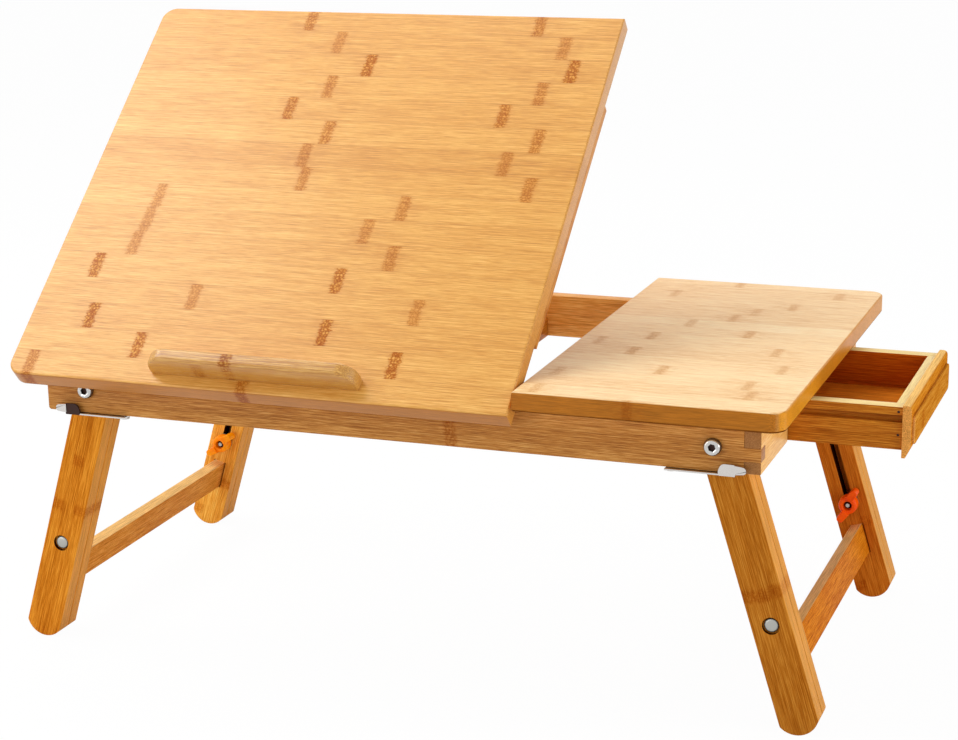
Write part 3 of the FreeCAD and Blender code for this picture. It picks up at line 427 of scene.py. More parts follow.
    def add_ends(
        self, g: Graph, colour: Socket, value: Socket, normal: Socket, grain: Grain, place: Place
    ) -> tuple[Socket, Socket]:
        """Stippled end grain where a face cuts the fibres, and another tone on the faces across the strips.

        Args:
            g: graph of the material.
            colour: colour of the wood so far.
            value: brightness of the fibres.
            normal: surface normal in the table's frame.
            grain: directions of the board.
            place: coordinates along, across and through the board, in millimetres.

        Returns:
            The colour, and how much of the end grain's dots show at each point.
        """
        cut = g.step(g.facing(normal, grain.along), 0.35, 0.75)
        pores = g.cells(g.shrunk(place, *PORE_SIZE), PORE_SCALE, 0.9)
        dots = g.math("MULTIPLY", g.step(pores, 0.5, 0.15), cut)
        sawn = self.mottled(g, value, self.end or self.deep)
        colour = g.mix(g.math("MULTIPLY", cut, self.end_shade), colour, sawn)
        colour = g.mix(g.math("MULTIPLY", dots, 0.5), colour, self.knot)
        if self.side:
            edge = g.step(g.facing(normal, grain.across), 0.6, 0.9)
            here = g.math("MULTIPLY", edge, g.math("GREATER_THAN", place[1], self.side_from))
            colour = g.mix(here, colour, self.mottled(g, value, self.side))
        return colour, dots


@dataclass(frozen=True)
class Metal:
    """Plated steel or brass with faint brushing."""

    name: str
    colour: Colour
    roughness: float = 0.25
    brushing: float = 0.1

    def material(self) -> Paint:
        """Builds the metal's material.

        Returns:
            The new material.
        """
        g = Graph(bpy.data.materials.new(self.name))
        place = g.node("TexCoord").outputs["Object"]
        stretched = g.node("Mapping", {"Vector": place, "Scale": (400.0, 2600.0, 900.0)}).outputs[0]
        scratch = g.noise(stretched, 3.0, 0.6)
        cloud = g.noise(place, 3.0, scale=160.0)
        dull = tuple(c * 0.9 for c in self.colour)
        rough = g.math("MULTIPLY_ADD", scratch, self.brushing, self.roughness)
        bump = g.node("Bump", {"Strength": 0.05, "Distance": 0.0001, "Height": scratch})
        return g.finish({
            "Base Color": g.mix(cloud, dull, self.colour),
            "Metallic": 1.0,
            "Roughness": rough,
            "Normal": bump.outputs[0],
        })


@dataclass(frozen=True)
class Plastic:
    """Moulded plastic with a fine pebbled skin."""

    name: str
    colour: Colour
    shade: Colour
    roughness: float = 0.35

    def material(self) -> Paint:
        """Builds the plastic's material.

        Returns:
            The new material.
        """
        g = Graph(bpy.data.materials.new(self.name))
        place = g.node("TexCoord").outputs["Object"]
        cloud, skin = g.noise(place, 2.0, scale=90.0), g.noise(place, 1.0, scale=2600.0)
        bump = g.node("Bump", {"Strength": 0.08, "Distance": 0.0001, "Height": skin})
        return g.finish({
            "Base Color": g.mix(g.step(cloud, 0.35, 0.7), self.shade, self.colour),
            "Roughness": g.math("MULTIPLY_ADD", cloud, 0.1, self.roughness),
            "Normal": bump.outputs[0],
            "Specular IOR Level": 0.12,
        })


# ---- mesh helpers

SMOOTH_ANGLE = math.radians(35.0)
FLAT_ANGLE = math.radians(1.0)
ARRIS_ANGLE = math.radians(38.0)
FOLD_ANGLE = 0.9
ARRIS_SLOPES = (-0.2, -0.96)  # between a panel's edge and its lower side
ROUND_COUNT = 48
CORNER_STEPS = 5


def show(name: str, mesh: Mesh, body: str, *materials: Paint) -> Piece:
    """Puts a mesh in the scene on one of the table's bodies.

    Args:
        name: name of the piece.
        mesh: mesh in the table's frame.
        body: the moving body that carries it.
        materials: its materials, in the order of its slots.

    Returns:
        The new object.
    """
    for material in materials:
        mesh.materials.append(material)
    piece = bpy.data.objects.new(name, mesh)
    bpy.context.scene.collection.objects.link(piece)
    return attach(piece, body)


def mesh_from(bm: Shells, name: str) -> Mesh:
    """Turns a bmesh into a mesh that is smooth up to an angle.

    Args:
        bm: the bmesh, which is freed.
        name: name of the mesh.

    Returns:
        The new mesh.
    """
    bmesh.ops.recalc_face_normals(bm, faces=bm.faces)
    mesh = bpy.data.meshes.new(name)
    bm.to_mesh(mesh)
    bm.free()
    mesh.shade_smooth()
    mesh.set_sharp_from_angle(angle=SMOOTH_ANGLE)
    return mesh


def ease(bm: Shells, angle: float, width: float, profile: float) -> None:
    """Rounds the sharp edges of some shells.

    Args:
        bm: the shells.
        angle: edges sharper than this are rounded, in radians.
        width: reach of the rounding.
        profile: shape of the rounding, 0.5 for a round one and more for a fuller one.
    """
    sharp = [e for e in bm.edges if len(e.link_faces) == 2 and e.calc_face_angle(0.0) > angle]
    bmesh.ops.bevel(
        bm, geom=sharp, offset=width, segments=2, profile=profile, affect="EDGES", clamp_overlap=True
    )


def eased_copy(node: str, width: float) -> Mesh:
    """Copy of a solid with its arrises rounded, as sanded boards have.

    Args:
        node: name of the solid.
        width: how far the rounding reaches from the arris, in millimetres.

    Returns:
        The new mesh.
    """
    bm = bmesh.new()
    bm.from_mesh(frame["nodes"][node].data)
    bmesh.ops.remove_doubles(bm, verts=bm.verts, dist=1e-6)
    bmesh.ops.dissolve_limit(bm, angle_limit=FLAT_ANGLE, verts=bm.verts, edges=bm.edges)
    ease(bm, ARRIS_ANGLE, width * MM, 0.6)
    return mesh_from(bm, node + "_eased")


def boards(wood: Bamboo, name: str, grain: Grain, width: float, *nodes: str) -> list[Piece]:
    """Shows wooden boards with eased arrises in place of their plain solids.

    Args:
        wood: their bamboo.
        name: name of the group in its material.
        grain: how the boards lie.
        width: reach of the rounding, in millimetres.
        nodes: names of the solids.

    Returns:
        The new pieces.
    """
    material, made = wood.material(name, grain), []
    for node in nodes:
        piece = show(node + "_board", eased_copy(node, width), BODY_OF[node], material)
        made.append(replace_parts(piece, node))
    return made


def dress(material: Paint, *nodes: str) -> None:
    """Gives solids that are shown as they are their material.

    Args:
        material: their material.
        nodes: names of the solids.
    """
    for node in nodes:
        mesh = frame["nodes"][node].data
        mesh.materials.clear()
        mesh.materials.append(material)


def recolour(piece: Piece, material: Paint, wanted: Callable[[bpy.types.MeshPolygon], bool]) -> None:
    """Gives some faces of a piece a second material.

    Args:
        piece: the piece.
        material: the material that is added to it.
        wanted: tells for each face whether it takes that material.
    """
    piece.data.materials.append(material)
    number = len(piece.data.materials) - 1
    for face in piece.data.polygons:
        if wanted(face):
            face.material_index = number


def shade_lower_arrises(piece: Piece, name: str, along: Vector, across: Vector) -> None:
    """Darkens the lower arrises of a panel with painted shade, the shadow line along its underside.

    Args:
        piece: the panel.
        name: name of the panel in its new material.
        along: direction of its fibres.
        across: direction across its strips, such that along x across points out of its upper side.
    """
    dark, square = ARRIS_SHADE.material(name, Grain(at(0, 0, 0), along, across)), along.cross(across)
    steep, flat = ARRIS_SLOPES
    recolour(piece, dark, lambda face: flat < face.normal.dot(square) < steep)


def ring(radius: float, height: float, flats: bool = False) -> list[Vector]:
    """Points of one ring about +Z, in millimetres.

    Args:
        radius: radius of the ring, or half its width across flats.
        height: its height.
        flats: makes it a hexagon.

    Returns:
        The points, in order.
    """
    made = []
    for k in range(ROUND_COUNT):
        turn = 2 * math.pi * k / ROUND_COUNT
        reach = radius / math.cos((turn + math.pi / 6) % (math.pi / 3) - math.pi / 6) if flats else radius
        made.append(Vector((reach * math.cos(turn), reach * math.sin(turn), height)))
    return made


def turned(rings: Sequence[tuple], place: Matrix, into: Shells, slots: Sequence[int] = ()) -> None:
    """Adds a turned piece to a bmesh.

    Args:
        rings: what ring() takes for each ring from the bottom, round the outside, to the middle of the top.
        place: matrix from the piece's frame, in millimetres, to the table's frame.
        into: the bmesh that takes the piece.
        slots: material number of each band between two rings, and of the last cap; 0 where it is too short.
    """
    slots = [*slots, *[0] * (len(rings) - len(slots))]
    loops = [[into.verts.new(place @ point) for point in ring(*each)] for each in rings]
    for step, (low, high) in enumerate(zip(loops, loops[1:])):
        for k in range(ROUND_COUNT):
            n = (k + 1) % ROUND_COUNT
            into.faces.new((low[k], low[n], high[n], high[k])).material_index = slots[step]
    into.faces.new(loops[0])
    into.faces.new(loops[-1]).material_index = slots[-1]


def facing(origin: Vector, out: Vector, turn: float = 0.0) -> Matrix:
    """Frame of a turned piece: millimetres, with its own +Z along a direction of the table's frame."""
    rotation = out.to_track_quat("Z", "Y").to_matrix().to_4x4()
    return Matrix.Translation(origin) @ rotation @ Matrix.Rotation(turn, 4, "Z") @ Matrix.Scale(MM, 4)


def slab(outline: Sequence[tuple[float, float]], low: float, high: float, into: Shells) -> None:
    """Adds a flat plate: an outline in X and Z, extruded along Y, in millimetres.

    Args:
        outline: corners of the plate, in order.
        low: where it starts along Y.
        high: where it ends along Y.
        into: the bmesh that takes the plate.
    """
    near, far = ([into.verts.new((x, y, z)) for x, z in outline] for y in (low, high))
    count = len(outline)
    into.faces.new(near)
    into.faces.new(far)
    for k in range(count):
        n = (k + 1) % count
        into.faces.new((near[k], near[n], far[n], far[k]))


def rounded_outline(corners: Sequence[tuple[float, float, float]]) -> list[tuple[float, float]]:
    """Outline with its corners rounded.

    Args:
        corners: x, z and rounding radius of each corner.

    Returns:
        The outline's points.
    """
    made = []
    for k, (x, z, radius) in enumerate(corners):
        if not radius:
            made.append((x, z))
            continue
        here = Vector((x, z))
        before = Vector(corners[k - 1][:2]) - here
        after = Vector(corners[(k + 1) % len(corners)][:2]) - here
        start, end = here + before.normalized() * radius, here + after.normalized() * radius
        for i in range(CORNER_STEPS + 1):
            t = i / CORNER_STEPS
            made.append(tuple(start * (1 - t) ** 2 + here * 2 * t * (1 - t) + end * t**2))
    return made


# ---- finishes of this table

X_WAY, Y_WAY, Z_WAY = Vector((1, 0, 0)), Vector((0, 1, 0)), Vector((0, 0, 1))
TILT = math.radians(40.7)
TILT_WAY = Vector((0, math.cos(TILT), math.sin(TILT)))
HINGE_LINE = (0.0, 2.6, 33.1)

RAIL_KNOTS = KnotRows(0, 520, first=(304, 303, 76, 76), second=(304, 303, 303, 180))
PANEL_KNOTS = KnotRows(
    start=-25,
    span=380,
    first=(
        -4.5, 72.3, 26.9, 99.4, 14.4, 37.3, 39.3, 40.8, 148.1, 142, 153.4, 116.6, 141.6, 166.4, 135.9,
        106.4,
    ),
    second=(
        160, 262.5, 205.3, 266.3, 202.2, 235.2, 210, 231.6, 318.2, 295.2, 313.5, 282.5, 305.3, 323.5,
        312.2, 288.5,
    ),
)
SIDE_KNOTS = KnotRows(  # a place at the start of the span is off the panel
    start=345,
    span=190,
    first=(
        429, 364.7, 500, 364.7, 430, 506, 397.3, 492.4, 399, 462.7, 415, 441, 452, 475, 380, 500, 420,
    ),
    second=(*[345] * 3, 493.5, *[345] * 3, 367, *[345] * 9),
)
TILT_TOP = Bamboo(
    "tilting_top", tint(192, 125, 46), tint(222, 157, 68), tint(247, 195, 108), tint(146, 74, 14),
    knots=PANEL_KNOTS, knot_strength=0.9, streak=0.8, side=tint(178, 112, 34), end=tint(214, 150, 66),
    end_shade=0.6, gloss=0.34, coat=0.12, roughness=0.36, offset=-1.2,
)
SIDE_TOP = Bamboo(
    "side_top", tint(222, 170, 112), tint(250, 210, 153), tint(254, 231, 184), tint(146, 92, 46),
    offset=-19.3, tone=0.13, knots=SIDE_KNOTS, knot_half=3.0, knot_strength=0.46, smudge=0.42, streak=1.1,
    side=tint(180, 110, 30), end=tint(224, 148, 34), end_shade=1.0, gloss=0.1, roughness=0.36, seed=5.0,
)
RAIL = Bamboo(
    "rail", tint(142, 82, 28), tint(188, 124, 54), tint(222, 166, 92), tint(110, 58, 20), strip=11.0,
    streak=0.95, knots=RAIL_KNOTS, knot_strength=0.8, seed=11.0,
)
BACK_RAIL = Bamboo(
    "back_rail", tint(192, 118, 42), tint(236, 164, 76), tint(252, 204, 120), tint(120, 60, 20), strip=11.0,
    knot_strength=0.6, seed=13.0,
)
END_RAIL = Bamboo(
    "end_rail", tint(210, 146, 64), tint(240, 184, 100), tint(250, 208, 132), tint(104, 54, 18), strip=16.0,
    knot_strength=0.6, end=tint(154, 99, 50), end_shade=0.9, gloss=0.2, seed=17.0,
)
LEDGE = Bamboo(
    "ledge", tint(168, 108, 38), tint(202, 144, 62), tint(230, 184, 104), tint(140, 76, 24), strip=9.3,
    tone=0.14, streak=1.2, knot_pitch=120.0, knot_strength=0.8, end=tint(226, 176, 100), gloss=0.4,
    coat=0.2, roughness=0.3, seed=23.0,
)
BATTEN = Bamboo(
    "batten", tint(176, 104, 36), tint(210, 142, 62), tint(230, 172, 92), tint(96, 52, 22), strip=8.0,
    knot_strength=0.5, seed=29.0,
)
LEG = Bamboo(
    "leg", tint(160, 86, 12), tint(194, 116, 28), tint(222, 150, 54), tint(104, 48, 8), strip=8.93,
    offset=-13.4, tone=0.14, side=tint(226, 156, 66), knot_strength=0.5, gloss=0.015, seed=31.0,
)
# Dark bamboo for the panels' lower arrises: painted shade, the shadow line under their edges.
ARRIS_SHADE = Bamboo(
    "arris", tint(96, 50, 14), tint(130, 76, 26), tint(160, 102, 44), tint(60, 30, 10), gloss=0.0,
    offset=-1.2, tone=0.18,
)
# Nearly black bamboo for the walls of the legs' recesses and slots: painted shade.
HOLE_SHADE = replace(
    ARRIS_SHADE, name="leg_hole", deep=tint(44, 12, 4), middle=tint(64, 20, 8), pale=tint(90, 34, 14),
    knot=tint(30, 8, 4),
)
STRETCHER = Bamboo(
    "stretcher", tint(178, 100, 26), tint(212, 136, 48), tint(236, 172, 84), tint(120, 62, 20), strip=11.5,
    streak=1.3, knot_pitch=900.0, side=tint(244, 200, 130), gloss=0.01, seed=41.0,
)
DRAWER_WOOD = Bamboo(
    "drawer_wood", tint(146, 78, 12), tint(184, 106, 24), tint(214, 142, 46), tint(84, 36, 10), strip=10.0,
    tone=0.12, knot_strength=0.6, side=tint(254, 217, 148), side_from=25.0, gloss=0.06, seed=47.0,
)
# Redder copy of the drawer wood for the inside of the back side: partly the wood's own tone, partly painted
# warm shade inside the drawer.
DRAWER_RED = replace(
    DRAWER_WOOD, name="drawer_red", deep=tint(152, 62, 5), middle=tint(186, 83, 9), pale=tint(212, 110, 22),
)
DRAWER_FRONT = Bamboo(
    "drawer_front", tint(200, 126, 28), tint(232, 162, 52), tint(250, 194, 84), tint(110, 52, 14),
    strip=12.0, tone=0.12, streak=1.3, knot_strength=0.6, side=tint(246, 194, 118), side_from=33.8,
    end=tint(238, 170, 88), end_shade=0.85, gloss=0.0, seed=53.0,
)
LEG_KNOTS = {Side.LEFT: (98.0, 60.0, 97.0), Side.RIGHT: (105.0, 106.0, 104.5)}
# Colour factors of each leg: lighter front left and darker front right as painted light, darker and redder
# back right as painted shade under the drawer, much paler back left.
LEG_TONES = {
    (Side.LEFT, Row.FRONT): (1.18, 1.16, 1.0), (Side.RIGHT, Row.FRONT): (0.9, 0.9, 1.0),
    (Side.LEFT, Row.BACK): (1.68, 2.3, 4.6), (Side.RIGHT, Row.BACK): (0.88, 0.68, 0.55),
}
NUT_TURNS = {
    (Side.LEFT, Row.FRONT): 97.0, (Side.RIGHT, Row.FRONT): 86.0,
    (Side.LEFT, Row.BACK): 45.4, (Side.RIGHT, Row.BACK): 37.8,
}
BRIGHT_STEEL = Metal("bright_steel", (0.6, 0.59, 0.57), roughness=0.16, brushing=0.1)
SPRING_STEEL = Metal("spring_steel", (0.66, 0.63, 0.6), roughness=0.2, brushing=0.06)
# Nearly black steel: it dresses the brads, is painted shade in the bolts' sockets and at the clamp bolts'
# tips, and is a painted dark reflection on the left clips' plates.
DARK_STEEL_AND_SHADE = Metal("dark_steel", (0.06, 0.035, 0.03), roughness=0.5, brushing=0.15)
DULL_ZINC = Metal("dull_zinc", (0.44, 0.44, 0.41), roughness=0.38, brushing=0.1)
# Dark grey steel for the pivot bolts' flanks: a painted dark reflection.
DARK_REFLECTION_STEEL = Metal("shaded_steel", (0.2, 0.18, 0.16), roughness=0.3, brushing=0.1)
YELLOW_BRASS = Metal("yellow_brass", (0.82, 0.62, 0.3), roughness=0.24, brushing=0.12)
DEEP_ORANGE = Plastic("deep_orange", tint(248, 92, 0), tint(236, 74, 0), roughness=0.3)
# Paler orange for the left nuts: painted light that makes up for the tray's shade on them.
PAINTED_LIGHT_ORANGE = Plastic("light_orange", tint(255, 160, 0), tint(255, 138, 0), roughness=0.3)


# ---- sub-assemblies


@dataclass(frozen=True)
class Lamp:
    """Soft square lamp: its place, target and size in metres, and its power in watts."""

    name: str
    place: tuple[float, float, float]
    target: tuple[float, float, float]
    size: float
    power: float
    warmth: Colour

    def hang(self) -> None:
        """Adds the lamp to the scene."""
        data = bpy.data.lights.new(self.name, "AREA")
        data.shape, data.size, data.energy, data.color = "SQUARE", self.size, self.power, self.warmth
        lamp = bpy.data.objects.new(self.name, data)
        lamp.location = self.place
        ahead = Vector(self.target) - Vector(self.place)
        lamp.rotation_euler = ahead.to_track_quat("-Z", "Y").to_euler()
        bpy.context.scene.collection.objects.link(lamp)


@dataclass
class Studio:
    """Pale floor, soft lamps, plain surroundings and the camera."""

    eye: tuple[float, float, float] = (805.52, -1288.11, 424.7)
    yaw: float = 20.49
    pitch: float = -15.6
    roll: float = -0.93
    lens: float = 82.36
    rise: float = 0.0202
    ambient: float = 0.5
    floor_glow: float = 0.972
    floor_half: float = 12.0

    def camera(self) -> Piece:
        """Adds the camera and makes it the scene's own.

        Returns:
            The camera.
        """
        yaw, pitch, roll = (math.radians(angle) for angle in (self.yaw, self.pitch, self.roll))
        turn = Matrix.Rotation(yaw, 4, "Z") @ Matrix.Rotation(math.pi / 2 + pitch, 4, "X")
        data = bpy.data.cameras.new("camera")
        data.lens, data.sensor_width, data.shift_y = self.lens, 36.0, self.rise
        data.clip_end = 100.0
        camera = bpy.data.objects.new("camera", data)
        camera.matrix_world = Matrix.Translation(at(*self.eye)) @ turn @ Matrix.Rotation(roll, 4, "Z")
        bpy.context.scene.collection.objects.link(camera)
        bpy.context.scene.camera = camera
        return camera

    def seen_rays(self, g: Graph) -> Socket:
        """Number that is 1 for rays that see a surface or mirror it, and 0 for rays that light it.

        Args:
            g: graph that needs the number.

        Returns:
            The socket with the number.
        """
        rays = g.node("LightPath").outputs
        seen = g.math("MAXIMUM", rays["Is Camera Ray"], rays["Is Glossy Ray"])
        return g.math("MAXIMUM", seen, rays["Is Transmission Ray"])

    def surroundings(self) -> None:
        """Plain white all round, dimmer for the light that it gives."""
        world = bpy.data.worlds.new("surroundings")
        bpy.context.scene.world = world
        g = Graph(world)
        dim, bright = (
            g.node("Background", {"Color": (1.0, 1.0, 1.0), "Strength": strength}).outputs[0]
            for strength in (self.ambient, 1.0)
        )
        blend = g.node("MixShader", {0: self.seen_rays(g), 1: dim, 2: bright})
        g.node("OutputWorld", {"Surface": blend.outputs[0]})

    def floor(self) -> Piece:
        """Adds a floor that looks white and still takes the table's shadow.

        Returns:
            The floor.
        """
        mesh = bpy.data.meshes.new("floor")
        h = self.floor_half
        mesh.from_pydata([(-h, -h, 0), (h, -h, 0), (h, h, 0), (-h, h, 0)], [], [(0, 1, 2, 3)])
        g = Graph(bpy.data.materials.new("floor_paint"))
        matt = g.node("BsdfDiffuse", {"Color": (0.95, 0.95, 0.95)})
        glow = g.node("Emission", {"Color": (1.0, 1.0, 1.0), "Strength": 1.0})
        amount = g.math("MULTIPLY", self.seen_rays(g), self.floor_glow)
        blend = g.node("MixShader", {0: amount, 1: matt.outputs[0], 2: glow.outputs[0]})
        g.node("OutputMaterial", {"Surface": blend.outputs[0]})
        mesh.materials.append(g.owner)
        floor = bpy.data.objects.new("floor", mesh)
        bpy.context.scene.collection.objects.link(floor)
        return floor

    def build(self) -> None:
        """Adds everything round the table."""
        self.camera()
        self.surroundings()
        self.floor()
        centre, warm = (0.0, 0.0, 0.22), (1.0, 0.985, 0.96)
        Lamp("sheen", (-1.36, -0.12, 1.75), centre, 1.1, 20.0, warm).hang()
        Lamp("key", (-0.5, 0.82, 2.0), centre, 1.0, 11.5, warm).hang()
        Lamp("right", (1.7, -0.4, 0.68), centre, 1.1, 11.2, warm).hang()
        Lamp("fill", (-1.1, -1.5, 0.45), (-0.2, 0.0, 0.1), 0.9, 5.2, (1.0, 1.0, 1.0)).hang()


@dataclass
class Tray:
    """Fixed frame: its rails, the side panel, the drawer's guides and the prop's notched rails."""

    edge: float = 0.6
    panel_edge: float = 0.5
    inner_edge: float = 0.4

    def boards(self) -> list[Piece]:
        """Rails and panel with eased arrises.

        Returns:
            The new pieces.
        """
        low = at(0, 0, -4)
        made = boards(RAIL, "tray_rails", Grain(low, X_WAY, Z_WAY), self.edge, "front_rail")
        made += boards(BACK_RAIL, "tray", Grain(low, X_WAY, Z_WAY), self.edge, "back_rail")
        ends = ("left_end_rail", "right_front_end_rail", "right_back_end_rail")
        made += boards(END_RAIL, "tray_ends", Grain(at(0, 0, 0), Y_WAY, Z_WAY), self.edge, *ends)
        top = Grain(at(0, -16.4, 32.5), X_WAY, Y_WAY)
        made += boards(SIDE_TOP, "side_panel", top, self.panel_edge, "fixed_side_panel")
        # painted shade along the side panel's lower arrises
        shade_lower_arrises(made[-1], "side_panel", X_WAY, Y_WAY)
        return made

    def inner_parts(self) -> list[Piece]:
        """Guides, runners and stop of the drawer, and the rails that the prop stands on.

        Returns:
            The new pieces.
        """
        low, edge = at(0, 0, 2), self.inner_edge
        guides = ("front_drawer_guide", "back_drawer_guide", "front_drawer_runner", "back_drawer_runner")
        stops = ("drawer_stop_board", "left_notch_rail", "right_notch_rail")
        made = boards(DRAWER_WOOD, "guides", Grain(low, X_WAY, Z_WAY), edge, *guides)
        return made + boards(DRAWER_WOOD, "stop", Grain(low, Y_WAY, Z_WAY), edge, *stops)

    def build(self) -> list[Piece]:
        """Builds and dresses the whole tray.

        Returns:
            The new pieces.
        """
        dress(YELLOW_BRASS.material(), "hinge_rail_leaves", "hinge_pins")
        dress(SPRING_STEEL.material(), "hinge_rail_screws", "latch_screws")
        return self.boards() + self.inner_parts()


@dataclass
class TiltingTop:
    """Tilting panel with its ledge, battens and prop brackets."""

    front_edge: float = -19.0
    edge: float = 0.7
    ledge_edge: float = 0.9
    batten_edge: float = 0.5

    def on_panel(self, along: float, across: float, up: float) -> Vector:
        """Point measured in millimetres along the hinge line, up the slope and square to the panel."""
        square = X_WAY.cross(TILT_WAY)
        return at(*HINGE_LINE) + (X_WAY * along + TILT_WAY * across + square * up) * MM

    def build(self) -> list[Piece]:
        """Builds and dresses the tilting top.

        Returns:
            The new pieces.
        """
        panel = Grain(self.on_panel(0, self.front_edge, 0), X_WAY, TILT_WAY)
        ledge = Grain(self.on_panel(0, -10, 0), X_WAY, TILT_WAY)
        batten = Grain(self.on_panel(0, 0, -3), TILT_WAY, X_WAY)
        battens = ("left_panel_batten", "right_panel_batten")
        made = boards(TILT_TOP, "panel", panel, self.edge, "tilt_panel")
        # painted shade along the tilting panel's lower arrises
        shade_lower_arrises(made[0], "panel", X_WAY, TILT_WAY)
        made += boards(LEDGE, "ledge", ledge, self.ledge_edge, "book_ledge")
        made += boards(BATTEN, "battens", batten, self.batten_edge, *battens)
        dress(YELLOW_BRASS.material(), "hinge_panel_leaves")
        dress(BRIGHT_STEEL.material(), "hinge_panel_screws", "prop_brackets", "prop_pins")
        return made


@dataclass
class Prop:
    """Swinging frame that holds the tilting top up."""

    edge: float = 0.6

    def build(self) -> list[Piece]:
        """Builds and dresses the prop.

        Returns:
            The new pieces.
        """
        low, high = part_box("prop_left_arm")
        way = Vector((0, low.y - high.y, high.z - low.z)).normalized()
        arms, bar = Grain(at(0, 0, 0), way, X_WAY), Grain(at(0, 0, 0), X_WAY, way)
        made = boards(BATTEN, "prop_arms", arms, self.edge, "prop_left_arm", "prop_right_arm")
        made += boards(BATTEN, "prop_bar", bar, self.edge, "prop_cross_bar")
        dress(BRIGHT_STEEL.material(), "prop_foot_rod")
        return made


@dataclass
class LegPair:
    """Front and back leg of one end, each in two sliding boards, with their stretcher and clamps."""

    side: Side
    pivot: tuple[float, float] = (31.0, 16.3)
    splay: float = 16.82
    middle: float = 20.0
    clamp_reach: float = 126.9
    seat: float = 11.0 + 1.2 + 13.0 + 0.3 + 11.0 + 1.2
    head_seat: float = 14.8
    tip_reach: float = 7.4
    travel: float = 80.0
    hole_half: float = 6.4
    stretcher_reach: float = 168.0
    edge: float = 0.7
    stretcher_edge: float = 0.6

    def upward(self) -> Vector:
        """Direction from the foot to the pivot."""
        lean = math.radians(self.splay)
        return Vector((-self.side.value * math.sin(lean), 0, math.cos(lean)))

    def pivot_point(self, y: float) -> Vector:
        """Point on the pivot line at a distance behind the tray's front."""
        x = self.pivot[0] if self.side is Side.LEFT else TRAY_LENGTH - self.pivot[0]
        return at(x, y, self.pivot[1])

    def grain(self, y: float) -> Grain:
        """Grain of a leg, counted downwards from its pivot."""
        up = self.upward()
        return Grain(self.pivot_point(y), -up, Y_WAY.cross(up))

    def name(self, row: Row, piece: str) -> str:
        """Name of one of this pair's solids."""
        return f"{self.side.name.lower()}_{row.name.lower()}_{piece}"

    def legs(self) -> list[Piece]:
        """The four leg boards.

        Returns:
            The new pieces.
        """
        made = []
        for row in Row:
            y = self.middle if row is Row.FRONT else TRAY_DEPTH - self.middle
            places = LEG_KNOTS[self.side]
            knots = KnotRows(-260.0, 320.0, places, places) if row is Row.FRONT else None
            seed = 31.0 + 3 * self.side.value + row.value
            # each leg's bamboo in its tone from LEG_TONES, partly painted light and shade
            wood = replace(LEG.retinted(*LEG_TONES[self.side, row]), knots=knots, seed=seed)
            nodes = (self.name(row, "outer_leg"), self.name(row, "inner_leg"))
            pair = boards(wood, self.name(row, "leg"), self.grain(y), self.edge, *nodes)
            for leg in pair:
                # painted shade on the walls of the recess and the slot
                self.shade_holes(leg, y)
            made += pair
        return made

    def shade_holes(self, leg: Piece, y: float) -> None:
        """Gives the walls of a board's recess and slot a nearly black wood: painted shade in the hollows.

        Args:
            leg: the board.
            y: its distance behind the tray's front, in millimetres.
        """
        up, start = self.upward(), self.pivot_point(y)

        def in_hole(face: bpy.types.MeshPolygon) -> bool:
            """Whether a face is on a wall of the recess or the slot.

            Args:
                face: a face of the board.

            Returns:
                True for such a face.
            """
            offset, half = face.center - start, self.hole_half
            along = offset.dot(up) / MM + self.clamp_reach
            across = abs(offset.dot(Y_WAY.cross(up))) / MM
            return abs(face.normal.y) < 0.8 and across < half and -half < along < self.travel + half

        recolour(leg, HOLE_SHADE.material(leg.name, self.grain(y)), in_hole)

    def stretcher(self) -> Piece:
        """The bar between the two lower boards.

        Returns:
            The new piece.
        """
        word = self.side.name.lower()
        wood = STRETCHER.retinted(0.98, 0.74, 0.2) if self.side is Side.RIGHT else STRETCHER
        foot = self.pivot_point(0) - self.upward() * self.stretcher_reach * MM
        grain = Grain(foot, Y_WAY, self.upward())
        return boards(wood, word, grain, self.stretcher_edge, word + "_stretcher")[0]

    def clamp_bolts(self) -> Piece:
        """The two carriage bolts, their heads in the recesses and their pointed ends in the wing nuts.

        Returns:
            The new piece.
        """
        bm = bmesh.new()
        head = [(4.6, 0.0), (4.75, 0.2), (4.75, 0.9), (4.4, 1.4), (3.6, 1.75), (2.4, 1.88), (0.6, 1.9)]
        end = self.head_seat - self.seat - self.tip_reach
        shank = [(1.4, end), (1.6, end + 0.15), (2.85, end + 1.6), (2.85, 0.1)]
        for out, y in ((-Y_WAY, self.head_seat), (Y_WAY, TRAY_DEPTH - self.head_seat)):
            place = facing(self.pivot_point(y) - self.upward() * self.clamp_reach * MM, out)
            turned(head, place, bm)
            # the taper at the pointed end takes the nearly black steel: painted shade in the wing nut's mouth
            turned(shank, place, bm, slots=(0, 1))
        node = self.side.name.lower() + "_clamp_bolts"
        mesh = mesh_from(bm, node + "_turned")
        piece = show(mesh.name, mesh, BODY_OF[node], DULL_ZINC.material(), DARK_STEEL_AND_SHADE.material())
        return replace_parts(piece, node)

    def build(self) -> list[Piece]:
        """Builds and dresses the pair."""
        dress(DULL_ZINC.material(), self.side.name.lower() + "_clamp_washers")
        return self.legs() + [self.stretcher(), self.clamp_bolts()]


